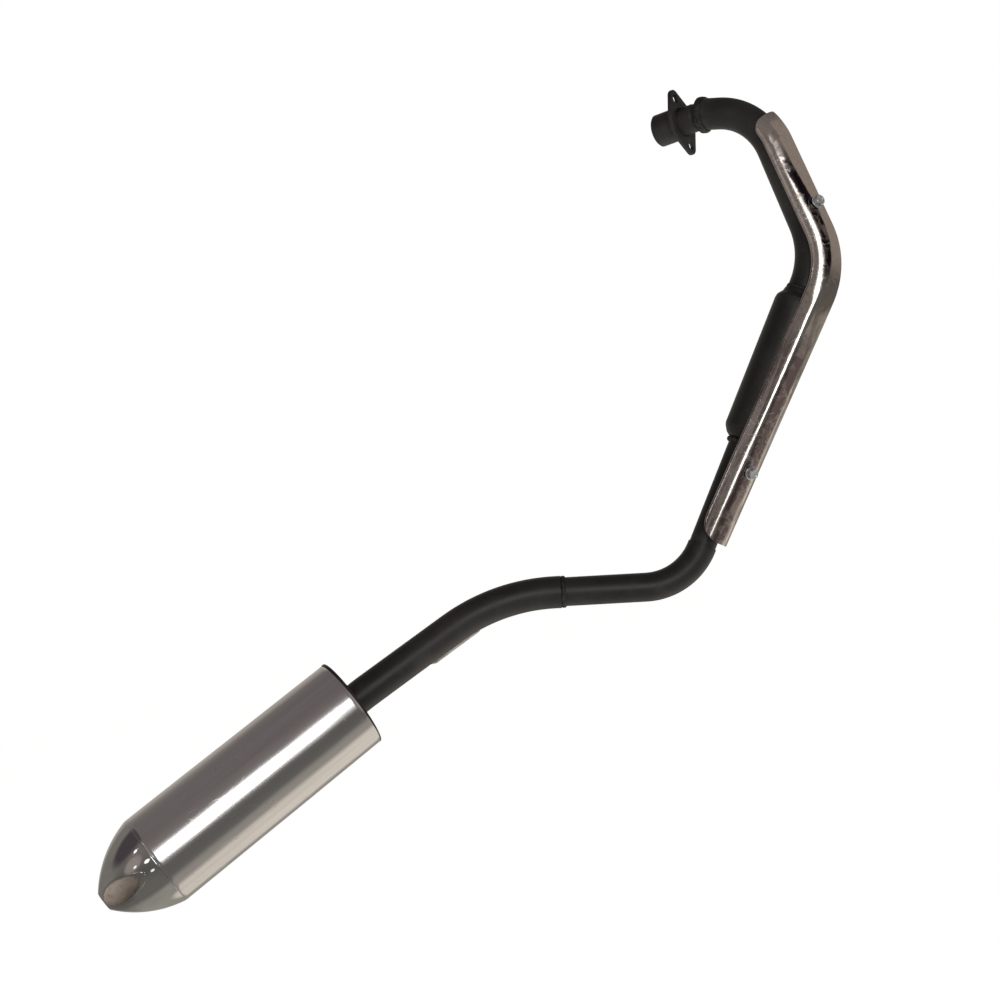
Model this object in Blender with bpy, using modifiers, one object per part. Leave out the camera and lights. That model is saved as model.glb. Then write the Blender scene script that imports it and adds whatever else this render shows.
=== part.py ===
"""Small single-cylinder racing exhaust: port spigot with a loose flange, header, pre-silencer
chamber under a heat shield, mid and tail pipes, and a round silencer with a bullet end.

Metres, +Z up. The origin is the middle of the cylinder head's port in the plane of the head's
face, and -X runs along the port into the head."""

import math

import bmesh
import bpy
from mathutils import Matrix, Vector

MM = 0.001
FIT = 0.3 * MM          # gap between touching pieces

# The whole pipe run is one centreline: corner points, and the bend radius at each corner.
# It starts at the neck's end, where the header is welded on at a slight angle.
RUN_CORNERS = [
    Vector((30.0, 0.0, 0.0)) * MM,
    Vector((85.0, 0.7, -15.5)) * MM,
    Vector((110.0, 12.7, -165.0)) * MM,
    Vector((-50.7, -94.6, -455.0)) * MM,
    Vector((-203.0, -198.3, -426.0)) * MM,
    Vector((-296.5, -315.5, -488.0)) * MM,
    Vector((-311.2, -336.3, -499.6)) * MM,
]
RUN_RADII = [64 * MM, 82 * MM, 62 * MM, 175 * MM, 100 * MM]
BEND_STEP = math.radians(8.0)   # angle between the rings of a bend
PIPE_SIDES = 16

# Spigot and flange, distances along X
SPIGOT_RADIUS = 16.4 * MM
SPIGOT_LENGTH = 24 * MM
SPIGOT_BORE = 12.2 * MM
NECK_RADIUS = 14.0 * MM
NECK_WAIST_RADIUS = 13.0 * MM
NECK_END = 29 * MM
HEADER_START = 3 * MM          # from the run's first point
HEADER_WELD_PLACE = 28.5 * MM
SPIGOT_EDGE = 1.5 * MM          # chamfer at the spigot's end
NECK_WAIST = (20 * MM, 22 * MM, 25 * MM, 26.5 * MM)     # the groove: in, floor, floor end, out
FLANGE_START = 2 * MM
FLANGE_THICKNESS = 4 * MM
FLANGE_HUB_RADIUS = 24.5 * MM
FLANGE_LOBE_RADIUS = 9.3 * MM
FLANGE_BORE_RADIUS = 14.4 * MM
STUD_SPACING = 49.2 * MM
STUD_HOLE_RADIUS = 4.5 * MM
STUD_LEAN = math.radians(15.6)  # the stud line leans from +Z towards -Y at rest

# Pipes
HEADER_RADIUS = 15.5 * MM
CHAMBER_OUTLET_RADIUS = 13.3 * MM
MID_RADIUS = 14.3 * MM
TAIL_RADIUS = 15.9 * MM
PIPE_WALL = 1.5 * MM
HEADER_WELD = (4 * MM, 0.8 * MM, 2.2 * MM)      # half its width, and how far it starts and
TAIL_WELD = (2.2 * MM, 0.5 * MM)                # rises outside the pipe
OUTLET_END_GAP = 2 * MM         # the chamber's outlet pipe stops this far before the third bend
MID_PIPE_END_GAP = 7 * MM       # the mid pipe stops this far before the wide bend
TAIL_END_IN_SILENCER = 12 * MM

# Chamber, distances from the end of the second bend
CHAMBER_START = 8 * MM
SHOULDER_END = 24 * MM
CHAMBER_LOWER_START = 149 * MM
CHAMBER_END = 163 * MM
CHAMBER_RADIUS = 23.0 * MM
CHAMBER_WALL = 1.5 * MM
PIPE_SHY = 4 * MM               # the pipes' ends, inside the shoulders
SHOULDER_SHY = 3 * MM           # straight lip of the pressed ends, and the core's reach past it
CORE_RADIUS = 11.5 * MM
CORE_SHEET = 1 * MM
CHAMBER_BAFFLE = (80 * MM, 81.5 * MM)
UPPER_WELD = (1.7 * MM, 2.2 * MM)       # half its width, and how far it rises outside the pipe
LOWER_WELD = (2.5 * MM, 4.2 * MM)

# Heat shield: its own run, wider than the pipe's at the middle bend
SHIELD_CORNERS = [
    Vector((30.0, 0.0, 0.0)) * MM,
    Vector((84.3, 0.7, -17.0)) * MM,
    Vector((118.7, 8.0, -178.0)) * MM,
    Vector((-24.7, -83.3, -414.0)) * MM,
]
SHIELD_BENDS = [64 * MM, 75 * MM]
SHIELD_START = 64 * MM          # from the first corner point, along the run
SHIELD_RADIUS = 20.9 * MM
SHIELD_WALL = 0.9 * MM
SHIELD_HALF_ANGLE = math.radians(67.0)
SHIELD_CORNER = 11 * MM
SHIELD_FACING = Vector((0.831, -0.445, -0.333))     # middle of the arc at the lower end
SHIELD_ARC_STEPS = 12

# Shield fasteners, distances along the shield from its upper end
SCREW_STATIONS = {"upper": 94 * MM, "lower": 363 * MM}
SCREW_RADIUS = 3.0 * MM
SCREW_LENGTH = 9 * MM
HEX_ACROSS_FLATS = 10 * MM
HEX_HEIGHT = 4.2 * MM
WASHER_RADIUS = 6.6 * MM
WASHER_THICKNESS = 1.4 * MM
SHIELD_HOLE_RADIUS = 3.6 * MM
BOSS_RADIUS = 6.2 * MM
BOSS_DROP = 0.9 * MM            # the boss stops lower, as the sheet curves down beside it
BOSS_FOOT = 2 * MM              # where it starts, inside the pipe, before the saddle is cut
HOLE_REACH = (10 * MM, 30 * MM)
THREAD_REACH = (-5 * MM, 30 * MM)

# Silencer, distances along its own axis from the inlet rim
SILENCER_RIM = Vector((-304.9, -327.4, -494.6)) * MM
SILENCER_AXIS = Vector((-0.5235, -0.7438, -0.4137)).normalized()
SLEEVE_RADIUS = 45.4 * MM
SLEEVE_WALL = 1.2 * MM
SLEEVE_LENGTH = 226 * MM
CAP_LIP = 2.0 * MM
CAP_DEPTH = 9 * MM
CAP_SHEET = 1.2 * MM
CAP_DISH = 3 * MM               # how far the cap's face lies inside the rim
CAP_ROLL = 0.6 * MM             # how far its lip stands out from the sleeve
INLET_WELD = (1.6 * MM, 2.2 * MM)
COLLAR_RADIUS = 19 * MM
BAFFLE_PLACE = 212 * MM
BAFFLE_THICKNESS = 2 * MM
CORE_PAST_BAFFLE = 5 * MM
CONE_LENGTH = 56 * MM
CONE_TIP_RADIUS = 9 * MM
CONE_ARC_RADIUS = 98 * MM
CONE_SHEET = 1.5 * MM
CONE_SKIRT = 9 * MM
OUTLET_RADIUS = 11.7 * MM
OUTLET_BORE = 10.4 * MM
OUTLET_MIDDLE = (37.3 * MM, 24.7 * MM)      # along the cone from its seam, and out from the axis
OUTLET_LEAN = math.radians(11.2)            # towards the axis, going out
OUTLET_FACING = Vector((0.787, -0.605, 0.092))
OUTLET_START = 9 * MM
OUTLET_BLANK_END = 40 * MM      # the tube's length past its middle, before the slash cut
CONE_HOLE_END = 60 * MM

# Hanger plate under the tail pipe
HANGER_LENGTH = 54 * MM
HANGER_WIDTH = 42 * MM
HANGER_THICKNESS = 2.5 * MM
HANGER_CORNER = 5 * MM
HANGER_HOLE_RADIUS = 4.5 * MM
HANGER_NEAR = 7 * MM            # its outboard edge, inboard of the pipe's middle
HANGER_HOLE_IN = 33 * MM
HANGER_PLACE = 4 * MM          # its middle, along the tail's straight from the wide bend
OUTBOARD = Vector((0.585, -0.811, 0.0))
HANGER_WELD_SHY = 8 * MM        # the bead stops this far from the plate's ends
WELD_WIRE = 1.6 * MM


def clear_scene():
    for obj in list(bpy.data.objects):
        bpy.data.objects.remove(obj, do_unlink=True)


def make_collection(name):
    collection = bpy.data.collections.new(name)
    bpy.context.scene.collection.children.link(collection)
    return collection


def make_material(name, color, roughness, metallic):
    material = bpy.data.materials.new(name)
    material.use_nodes = True
    shader = material.node_tree.nodes["Principled BSDF"]
    shader.inputs["Base Color"].default_value = (*color, 1.0)
    shader.inputs["Roughness"].default_value = roughness
    shader.inputs["Metallic"].default_value = metallic
    return material


def paint(obj, finish):
    """Gives the object a material of its own in this finish."""
    color, roughness, metallic = FINISHES[finish]
    obj.data.materials.clear()
    obj.data.materials.append(make_material(obj.name, color, roughness, metallic))
    return obj


def add_object(name, mesh, collection):
    obj = bpy.data.objects.new(name, mesh)
    collection.objects.link(obj)
    return obj


def smooth(mesh):
    mesh.shade_smooth()
    mesh.set_sharp_from_angle(angle=math.radians(35.0))


def add_axis(name, origin, direction):
    """An empty whose local Z lies along the direction."""
    empty = bpy.data.objects.new(name, None)
    empty.location = origin
    empty.rotation_mode = "QUATERNION"
    empty.rotation_quaternion = direction.to_track_quat("Z", "Y")
    PARTS.objects.link(empty)
    return empty


def bend_run(corners, radii):
    """Points along straight lines and arcs through the corners, and each arc's end distance."""
    points = [corners[0].copy()]
    arc_ends = []
    for corner, before, after, radius in zip(corners[1:-1], corners, corners[2:], radii):
        arriving = (corner - before).normalized()
        leaving = (after - corner).normalized()
        turn = arriving.angle(leaving)
        tangent = radius * math.tan(turn / 2)
        centre_side = (leaving - arriving).normalized()
        centre = corner + centre_side * (radius / math.cos(turn / 2))
        spin_axis = arriving.cross(leaving).normalized()
        start = corner - arriving * tangent
        steps = max(2, math.ceil(turn / BEND_STEP))
        for i in range(steps + 1):
            spin = Matrix.Rotation(turn * i / steps, 3, spin_axis)
            points.append(centre + spin @ (start - centre))
        arc_ends.append(run_length(points))
    points.append(corners[-1].copy())
    return points, arc_ends


def bend_length(index):
    """The length along the run of one bend, measured along its drawn chords."""
    arriving = RUN_CORNERS[index + 1] - RUN_CORNERS[index]
    leaving = RUN_CORNERS[index + 2] - RUN_CORNERS[index + 1]
    turn = arriving.angle(leaving)
    steps = max(2, math.ceil(turn / BEND_STEP))
    return 2 * RUN_RADII[index] * math.sin(turn / steps / 2) * steps


def run_length(points):
    return sum((b - a).length for a, b in zip(points, points[1:]))


def point_at(points, distance):
    """The point at this distance along the run, and the run's direction there."""
    for a, b in zip(points, points[1:]):
        step = (b - a).length
        if distance <= step:
            return a + (b - a) * (distance / step), (b - a).normalized()
        distance -= step
    return points[-1].copy(), (points[-1] - points[-2]).normalized()


def stretch(points, start, end):
    """The run between two distances, with an end point put in at each."""
    kept = [point_at(points, start)[0]]
    gone = 0.0
    for a, b in zip(points, points[1:]):
        gone += (b - a).length
        if start + FIT < gone < end - FIT:
            kept.append(b.copy())
    kept.append(point_at(points, end)[0])
    return kept


def add_curve(name, points, radius, sides, capped, collection):
    curve = bpy.data.curves.new(name, "CURVE")
    curve.dimensions = "3D"
    curve.twist_mode = "MINIMUM"
    curve.bevel_depth = radius
    curve.bevel_resolution = sides // 2 - 2
    curve.use_fill_caps = capped
    spline = curve.splines.new("POLY")
    spline.points.add(len(points) - 1)
    for place, point in zip(spline.points, points):
        place.co = (*point, 1.0)
    return add_object(name, curve, collection)


def made_mesh(obj, collection):
    """Replaces a curve, or an object with modifiers, by a plain mesh object with its caps welded."""
    name = obj.name
    bpy.context.view_layer.update()
    graph = bpy.context.evaluated_depsgraph_get()
    mesh = bpy.data.meshes.new_from_object(obj.evaluated_get(graph))
    edit = bmesh.new()
    edit.from_mesh(mesh)
    bmesh.ops.remove_doubles(edit, verts=edit.verts, dist=0.001 * MM)
    edit.to_mesh(mesh)
    edit.free()
    place = obj.matrix_world.copy()
    bpy.data.objects.remove(obj, do_unlink=True)
    made = add_object(name, mesh, collection)
    made.matrix_world = place
    smooth(mesh)
    return made


def hollow_pipe(name, points, radius, wall, finish):
    """A tube along the points, open at both ends."""
    pipe = made_mesh(add_curve(name, points, radius, PIPE_SIDES, False, PARTS), PARTS)
    solidify = pipe.modifiers.new("wall", "SOLIDIFY")
    solidify.thickness = wall
    solidify.offset = -1.0
    return paint(pipe, finish)


def turned(name, profile, axis, finish, along=0.0, steps=32, collection=None):
    """A turned piece on the axis empty. The profile lists (radius, distance along the axis) round
    the section, down its outer side and back up its inner side. It is closed unless both its
    ends lie on the axis."""
    mesh = bpy.data.meshes.new(name)
    points = [(radius, 0.0, -height) for radius, height in profile]
    edges = [(i, i + 1) for i in range(len(points) - 1)]
    if profile[0][0] > 0 or profile[-1][0] > 0:
        edges.append((len(points) - 1, 0))
    # the section is drawn head down, so that it runs top to bottom, and is turned back below
    mesh.from_pydata(points, edges, [])
    obj = add_object(name, mesh, collection or PARTS)
    obj.parent = axis
    obj.location = (0.0, 0.0, along)
    obj.rotation_euler = (math.pi, 0.0, 0.0)
    screw = obj.modifiers.new("turn", "SCREW")
    screw.steps = steps
    screw.render_steps = steps
    screw.use_merge_vertices = True
    screw.merge_threshold = 0.01 * MM
    screw.use_smooth_shade = True
    if finish:
        paint(obj, finish)
    return obj


def ring(name, axis, along, half_width, inner, outer, finish, steps=32):
    """A round-backed bead about the axis."""
    arc_steps = 6
    profile = []
    for i in range(arc_steps + 1):
        angle = math.pi * i / arc_steps
        profile.append((inner + (outer - inner) * math.sin(angle),
                        along - half_width * math.cos(angle)))
    return turned(name, profile, axis, finish, steps=steps)


def cylinder(name, radius, start, end, axis, collection, sides=32):
    """A plain cylinder or prism between two distances along the axis empty."""
    mesh = bpy.data.meshes.new(name)
    edit = bmesh.new()
    bmesh.ops.create_cone(edit, cap_ends=True, segments=sides, radius1=radius, radius2=radius,
                          depth=end - start)
    bmesh.ops.translate(edit, verts=edit.verts, vec=(0.0, 0.0, (start + end) / 2))
    edit.to_mesh(mesh)
    edit.free()
    obj = add_object(name, mesh, collection)
    obj.parent = axis
    smooth(mesh)
    return obj


def cutter(obj):
    obj.hide_render = True
    obj.display_type = "WIRE"
    return obj


def combine(obj, other, operation):
    boolean = obj.modifiers.new(operation.lower(), "BOOLEAN")
    boolean.operation = operation
    boolean.object = other
    return obj


def flat_outline(name, outline, thickness, collection):
    """A plate from a closed outline in its own XY plane, half its thickness each way."""
    curve = bpy.data.curves.new(name, "CURVE")
    curve.dimensions = "2D"
    curve.fill_mode = "BOTH"
    curve.extrude = thickness / 2
    spline = curve.splines.new("POLY")
    spline.points.add(len(outline) - 1)
    spline.use_cyclic_u = True
    for place, (x, y) in zip(spline.points, outline):
        place.co = (x, y, 0.0, 1.0)
    return add_object(name, curve, collection)


def arc_points(centre, radius, start, end, steps):
    """Points on an arc in a plane, angles in radians."""
    angles = [start + (end - start) * i / steps for i in range(steps + 1)]
    return [(centre[0] + radius * math.cos(a), centre[1] + radius * math.sin(a)) for a in angles]


def make_spigot():
    profile = [
        (SPIGOT_RADIUS - SPIGOT_EDGE, -SPIGOT_LENGTH),
        (SPIGOT_RADIUS, -SPIGOT_LENGTH + SPIGOT_EDGE),
        (SPIGOT_RADIUS, FLANGE_START - FIT),
        (NECK_RADIUS, FLANGE_START - FIT),
        (NECK_RADIUS, NECK_WAIST[0]),
        (NECK_WAIST_RADIUS, NECK_WAIST[1]),
        (NECK_WAIST_RADIUS, NECK_WAIST[2]),
        (NECK_RADIUS, NECK_WAIST[3]),
        (NECK_RADIUS, NECK_END),
        (SPIGOT_BORE, NECK_END),
        (SPIGOT_BORE, -SPIGOT_LENGTH),
    ]
    turned("port_spigot", profile, PORT_AXIS, "black_steel")


def make_flange():
    """The loose two-stud flange. It turns about the spigot's neck."""
    spread = STUD_SPACING / 2
    touch = math.acos((FLANGE_HUB_RADIUS - FLANGE_LOBE_RADIUS) / spread)
    outline = arc_points((spread, 0.0), FLANGE_LOBE_RADIUS, -touch, touch, 10)
    outline += arc_points((0.0, 0.0), FLANGE_HUB_RADIUS, touch, math.pi - touch, 6)
    outline += arc_points((-spread, 0.0), FLANGE_LOBE_RADIUS, math.pi - touch, math.pi + touch, 10)
    outline += arc_points((0.0, 0.0), FLANGE_HUB_RADIUS, math.pi + touch, math.tau - touch, 6)
    plate = flat_outline("head_flange", outline, FLANGE_THICKNESS, PARTS)
    flange = made_mesh(plate, PARTS)
    across = Vector((0.0, -math.sin(STUD_LEAN), math.cos(STUD_LEAN)))
    facing = Vector((1.0, 0.0, 0.0))
    turn = Matrix((across, facing.cross(across), facing)).transposed()
    middle = FLANGE_START + FLANGE_THICKNESS / 2
    flange.data.transform(turn.to_4x4() @ Matrix.Translation((0.0, 0.0, middle)))
    holes = {"flange_bore": (Vector(), FLANGE_BORE_RADIUS, 32)}
    for side, name in ((1, "stud_hole_a"), (-1, "stud_hole_b")):
        holes[name] = (across * spread * side, STUD_HOLE_RADIUS, 20)
    for name, (place, radius, sides) in holes.items():
        tool = cylinder(name, radius, -FLANGE_THICKNESS, 4 * FLANGE_THICKNESS,
                        add_axis(name + "_axis", place, facing), CUTTERS, sides)
        combine(flange, cutter(tool), "DIFFERENCE")
    paint(flange, "black_steel")


def make_pipes():
    chamber = SECOND_BEND_END
    outlet_end = THIRD_BEND_START - OUTLET_END_GAP
    joint = WIDE_BEND_START - MID_PIPE_END_GAP
    hollow_pipe("header_pipe", stretch(RUN, HEADER_START, chamber + SHOULDER_END - PIPE_SHY),
                HEADER_RADIUS, PIPE_WALL, "black_steel")
    hollow_pipe("chamber_outlet_pipe",
                stretch(RUN, chamber + CHAMBER_LOWER_START + PIPE_SHY, outlet_end),
                CHAMBER_OUTLET_RADIUS, PIPE_WALL, "black_steel")
    hollow_pipe("mid_pipe", stretch(RUN, outlet_end + FIT, joint),
                MID_RADIUS, PIPE_WALL, "black_steel")
    hollow_pipe("tail_pipe", stretch(RUN, joint + FIT, RUN_END),
                TAIL_RADIUS, PIPE_WALL, "black_steel")
    between = (Vector((1.0, 0.0, 0.0)) + point_at(RUN, HEADER_START)[1]).normalized()
    weld_axis = add_axis("header_weld_axis", Vector((HEADER_WELD_PLACE, 0.0, 0.0)), between)
    half_width, start, rise = HEADER_WELD
    ring("header_weld", weld_axis, 0.0, half_width, HEADER_RADIUS + start,
         HEADER_RADIUS + rise, "black_steel")
    half_width, rise = TAIL_WELD
    place, direction = point_at(RUN, joint - half_width + FIT)
    ring("tail_joint_weld", add_axis("tail_joint_axis", place, direction), 0.0, half_width,
         MID_RADIUS + FIT, TAIL_RADIUS + rise, "black_steel", steps=24)


def make_chamber():
    """The pre-silencer: two pressed ends, a rolled shell, a perforated core, and its welds."""
    place, _ = point_at(RUN, SECOND_BEND_END)
    direction = (RUN_CORNERS[3] - RUN_CORNERS[2]).normalized()
    axis = add_axis("chamber_axis", place, direction)
    inside = CHAMBER_RADIUS - CHAMBER_WALL
    neck = HEADER_RADIUS + FIT
    turned("chamber_upper_end", [
        (neck + CHAMBER_WALL, CHAMBER_START),
        (neck + CHAMBER_WALL + 1 * MM, CHAMBER_START + 4 * MM),
        (CHAMBER_RADIUS - 0.8 * MM, SHOULDER_END - 7 * MM),
        (CHAMBER_RADIUS, SHOULDER_END - SHOULDER_SHY),
        (CHAMBER_RADIUS, SHOULDER_END),
        (inside, SHOULDER_END),
        (inside, SHOULDER_END - SHOULDER_SHY),
        (neck, CHAMBER_START + 5 * MM),
        (neck, CHAMBER_START),
    ], axis, "black_steel")
    turned("chamber_shell", [
        (CHAMBER_RADIUS, SHOULDER_END + FIT),
        (CHAMBER_RADIUS, CHAMBER_LOWER_START),
        (inside, CHAMBER_LOWER_START),
        (inside, SHOULDER_END + FIT),
    ], axis, "black_steel")
    outlet = CHAMBER_OUTLET_RADIUS + FIT
    turned("chamber_lower_end", [
        (CHAMBER_RADIUS, CHAMBER_LOWER_START + FIT),
        (CHAMBER_RADIUS, CHAMBER_LOWER_START + 3 * MM),
        (CHAMBER_RADIUS - 1 * MM, CHAMBER_LOWER_START + 6 * MM),
        (CHAMBER_RADIUS - 4 * MM, CHAMBER_END - 3 * MM),
        (outlet + 2 * MM, CHAMBER_END),
        (outlet, CHAMBER_END),
        (outlet, CHAMBER_END - 5 * MM),
        (inside - 2 * MM, CHAMBER_LOWER_START + 6 * MM),
        (inside, CHAMBER_LOWER_START + 4 * MM),
        (inside, CHAMBER_LOWER_START + FIT),
    ], axis, "black_steel")
    half_width, rise = UPPER_WELD
    ring("chamber_upper_weld", axis, CHAMBER_START - half_width - FIT, half_width,
         HEADER_RADIUS + FIT, HEADER_RADIUS + rise, "black_steel")
    half_width, rise = LOWER_WELD
    ring("chamber_lower_weld", axis, CHAMBER_END + half_width + FIT, half_width,
         CHAMBER_OUTLET_RADIUS + FIT, CHAMBER_OUTLET_RADIUS + rise, "black_steel")
    turned("chamber_core", [
        (CORE_RADIUS, SHOULDER_END - SHOULDER_SHY),
        (CORE_RADIUS, CHAMBER_LOWER_START + SHOULDER_SHY),
        (CORE_RADIUS - CORE_SHEET, CHAMBER_LOWER_START + SHOULDER_SHY),
        (CORE_RADIUS - CORE_SHEET, SHOULDER_END - SHOULDER_SHY),
    ], axis, "raw_steel", steps=24)
    front, back = CHAMBER_BAFFLE
    turned("chamber_baffle", [
        (inside - FIT, front),
        (inside - FIT, back),
        (CORE_RADIUS + FIT, back),
        (CORE_RADIUS + FIT, front),
    ], axis, "raw_steel")


def shield_facings(points):
    """The middle-of-arc direction at each point, carried up the run without twist."""
    directions = [(b - a).normalized() for a, b in zip(points, points[1:])]
    directions.append(directions[-1])
    facing = SHIELD_FACING - directions[-1] * SHIELD_FACING.dot(directions[-1])
    facings = [facing.normalized()]
    for i in range(len(points) - 2, -1, -1):
        carry = directions[i + 1].rotation_difference(directions[i])
        facing = carry @ facings[0]
        facing = facing - directions[i] * facing.dot(directions[i])
        facings.insert(0, facing.normalized())
    return directions, facings


def shield_rows(run, length):
    """Distances of the shield's sections: close together at the rounded corners."""
    corner = [SHIELD_CORNER * (1 - math.cos(math.pi / 2 * i / 5)) for i in range(5)]
    stops = set(corner) | {length - c for c in corner}
    gone = 0.0
    for a, b in zip(run, run[1:]):
        gone += (b - a).length
        if SHIELD_CORNER <= gone <= length - SHIELD_CORNER:
            stops.add(gone)
    stops |= {SHIELD_CORNER, length - SHIELD_CORNER}
    return sorted(stops)


def half_angle(distance, length):
    """Half the arc's angle, less near each end, where the corners are rounded."""
    from_end = min(distance, length - distance)
    if from_end >= SHIELD_CORNER:
        return SHIELD_HALF_ANGLE
    inset = SHIELD_CORNER - math.sqrt(SHIELD_CORNER ** 2 - (SHIELD_CORNER - from_end) ** 2)
    return SHIELD_HALF_ANGLE - inset / SHIELD_RADIUS


def make_shield():
    """An open arc of sheet that follows the pipe, held off it by two screwed bosses."""
    whole, _ = bend_run(SHIELD_CORNERS, SHIELD_BENDS)
    run = stretch(whole, SHIELD_START, run_length(whole))
    length = run_length(run)
    rows = shield_rows(run, length)
    directions, facings = shield_facings([point_at(run, row)[0] for row in rows])
    edit = bmesh.new()
    grid = []
    for row, direction, facing in zip(rows, directions, facings):
        centre = point_at(run, row)[0]
        side = direction.cross(facing)
        half = half_angle(row, length)
        line = []
        for i in range(SHIELD_ARC_STEPS + 1):
            angle = half * (2 * i / SHIELD_ARC_STEPS - 1)
            out = facing * math.cos(angle) + side * math.sin(angle)
            line.append(edit.verts.new(centre + out * SHIELD_RADIUS))
        grid.append(line)
    for upper, lower in zip(grid, grid[1:]):
        for i in range(SHIELD_ARC_STEPS):
            edit.faces.new((upper[i], upper[i + 1], lower[i + 1], lower[i]))
    mesh = bpy.data.meshes.new("heat_shield")
    edit.to_mesh(mesh)
    edit.free()
    smooth(mesh)
    shield = add_object("heat_shield", mesh, PARTS)
    solidify = shield.modifiers.new("sheet", "SOLIDIFY")
    solidify.thickness = SHIELD_WALL
    solidify.offset = -1.0
    for name, distance in SCREW_STATIONS.items():
        make_fastener(name, run, rows, facings, distance, shield)
    paint(shield, "chrome")


def make_fastener(name, run, rows, facings, distance, shield):
    """A boss on the pipe, and a washer and hex screw that clamp the shield to it."""
    centre, direction = point_at(run, distance)
    nearest = min(range(len(rows)), key=lambda i: abs(rows[i] - distance))
    facing = facings[nearest] - direction * facings[nearest].dot(direction)
    axis = add_axis("screw_axis_" + name, centre, facing.normalized())
    hole = cutter(cylinder("shield_hole_" + name, SHIELD_HOLE_RADIUS, *HOLE_REACH,
                           axis, CUTTERS, 20))
    combine(shield, hole, "DIFFERENCE")

    seat = SHIELD_RADIUS - SHIELD_WALL - FIT - BOSS_DROP
    boss = cylinder("shield_boss_" + name, BOSS_RADIUS, BOSS_FOOT, seat, axis, PARTS, 24)
    pipe_radius = HEADER_RADIUS if name == "upper" else CHAMBER_OUTLET_RADIUS
    corners = RUN_CORNERS[1:3] if name == "upper" else RUN_CORNERS[2:4]
    along = (corners[1] - corners[0]).normalized()
    pipe_axis = add_axis("pipe_axis_" + name, corners[0], along)
    saddle = cutter(cylinder("boss_saddle_" + name, pipe_radius + FIT, 0.0,
                             (corners[1] - corners[0]).length, pipe_axis, CUTTERS, 48))
    combine(boss, saddle, "DIFFERENCE")
    thread = cutter(cylinder("boss_thread_" + name, SCREW_RADIUS + FIT, *THREAD_REACH, axis,
                             CUTTERS, 20))
    combine(boss, thread, "DIFFERENCE")
    paint(boss, "black_steel")

    top = SHIELD_RADIUS + FIT
    turned("shield_washer_" + name, [
        (WASHER_RADIUS, top),
        (WASHER_RADIUS, top + WASHER_THICKNESS),
        (SCREW_RADIUS + FIT, top + WASHER_THICKNESS),
        (SCREW_RADIUS + FIT, top),
    ], axis, "zinc", steps=24)
    head = top + WASHER_THICKNESS + FIT
    corner_radius = HEX_ACROSS_FLATS / 2 / math.cos(math.pi / 6)
    screw = cylinder("shield_screw_" + name, corner_radius, head, head + HEX_HEIGHT, axis,
                     PARTS, 6)
    shank = cutter(cylinder("screw_shank_" + name, SCREW_RADIUS, head - SCREW_LENGTH, head + MM,
                            axis, CUTTERS, 20))
    combine(screw, shank, "UNION")
    paint(screw, "zinc")


def cone_profile(inset):
    """(radius, distance from the seam) along the bullet's arc, this far inside its outer face."""
    start = Vector((SLEEVE_RADIUS, 0.0))
    tip = Vector((CONE_TIP_RADIUS, CONE_LENGTH))
    chord = tip - start
    across = Vector((chord.y, -chord.x)).normalized()
    half_chord = chord.length / 2
    centre = (start + tip) / 2 - across * math.sqrt(CONE_ARC_RADIUS ** 2 - half_chord ** 2)
    first = math.atan2(start.y - centre.y, start.x - centre.x)
    last = math.atan2(tip.y - centre.y, tip.x - centre.x)
    return arc_points(centre, CONE_ARC_RADIUS - inset, first, last, 10)


def make_silencer():
    axis = add_axis("silencer_axis", SILENCER_RIM, SILENCER_AXIS)
    inside = SLEEVE_RADIUS - SLEEVE_WALL
    plug = inside - FIT
    turned("silencer_sleeve", [
        (SLEEVE_RADIUS, 0.0),
        (SLEEVE_RADIUS, SLEEVE_LENGTH),
        (inside, SLEEVE_LENGTH),
        (inside, 0.0),
    ], axis, "aluminium", steps=48)
    hole = TAIL_RADIUS + FIT
    turned("silencer_inlet_cap", [
        (SLEEVE_RADIUS + CAP_ROLL / 3, -CAP_LIP),
        (SLEEVE_RADIUS + CAP_ROLL, -CAP_LIP / 2),
        (SLEEVE_RADIUS + CAP_ROLL / 3, -FIT),
        (plug, -FIT),
        (plug, CAP_DEPTH),
        (plug - CAP_SHEET, CAP_DEPTH),
        (plug - CAP_SHEET, CAP_DISH),
        (COLLAR_RADIUS, CAP_DISH),
        (COLLAR_RADIUS - CAP_SHEET, CAP_DEPTH),
        (hole, CAP_DEPTH),
        (hole, -CAP_LIP),
        (COLLAR_RADIUS - CAP_SHEET, -CAP_LIP),
        (COLLAR_RADIUS, CAP_DISH - CAP_SHEET),
        (plug - CAP_SHEET, CAP_DISH - CAP_SHEET),
        (plug, -CAP_LIP),
    ], axis, "black_steel", steps=48)
    half_width, rise = INLET_WELD
    ring("inlet_weld", axis, -CAP_LIP - half_width - FIT, half_width, TAIL_RADIUS + FIT,
         TAIL_RADIUS + rise, "black_steel", steps=24)
    core_start = TAIL_END_IN_SILENCER + CORE_SHEET
    turned("silencer_core", [
        (TAIL_RADIUS, core_start),
        (TAIL_RADIUS, BAFFLE_PLACE + CORE_PAST_BAFFLE),
        (TAIL_RADIUS - CORE_SHEET, BAFFLE_PLACE + CORE_PAST_BAFFLE),
        (TAIL_RADIUS - CORE_SHEET, core_start),
    ], axis, "raw_steel", steps=24)
    turned("silencer_packing", [
        (plug - FIT, core_start),
        (plug - FIT, BAFFLE_PLACE - FIT),
        (TAIL_RADIUS + FIT, BAFFLE_PLACE - FIT),
        (TAIL_RADIUS + FIT, core_start),
    ], axis, "glass_wool", steps=32)
    turned("outlet_baffle", [
        (plug, BAFFLE_PLACE),
        (plug, BAFFLE_PLACE + BAFFLE_THICKNESS),
        (TAIL_RADIUS + FIT, BAFFLE_PLACE + BAFFLE_THICKNESS),
        (TAIL_RADIUS + FIT, BAFFLE_PLACE),
    ], axis, "raw_steel", steps=32)
    make_tail_cone(axis, plug)


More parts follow.
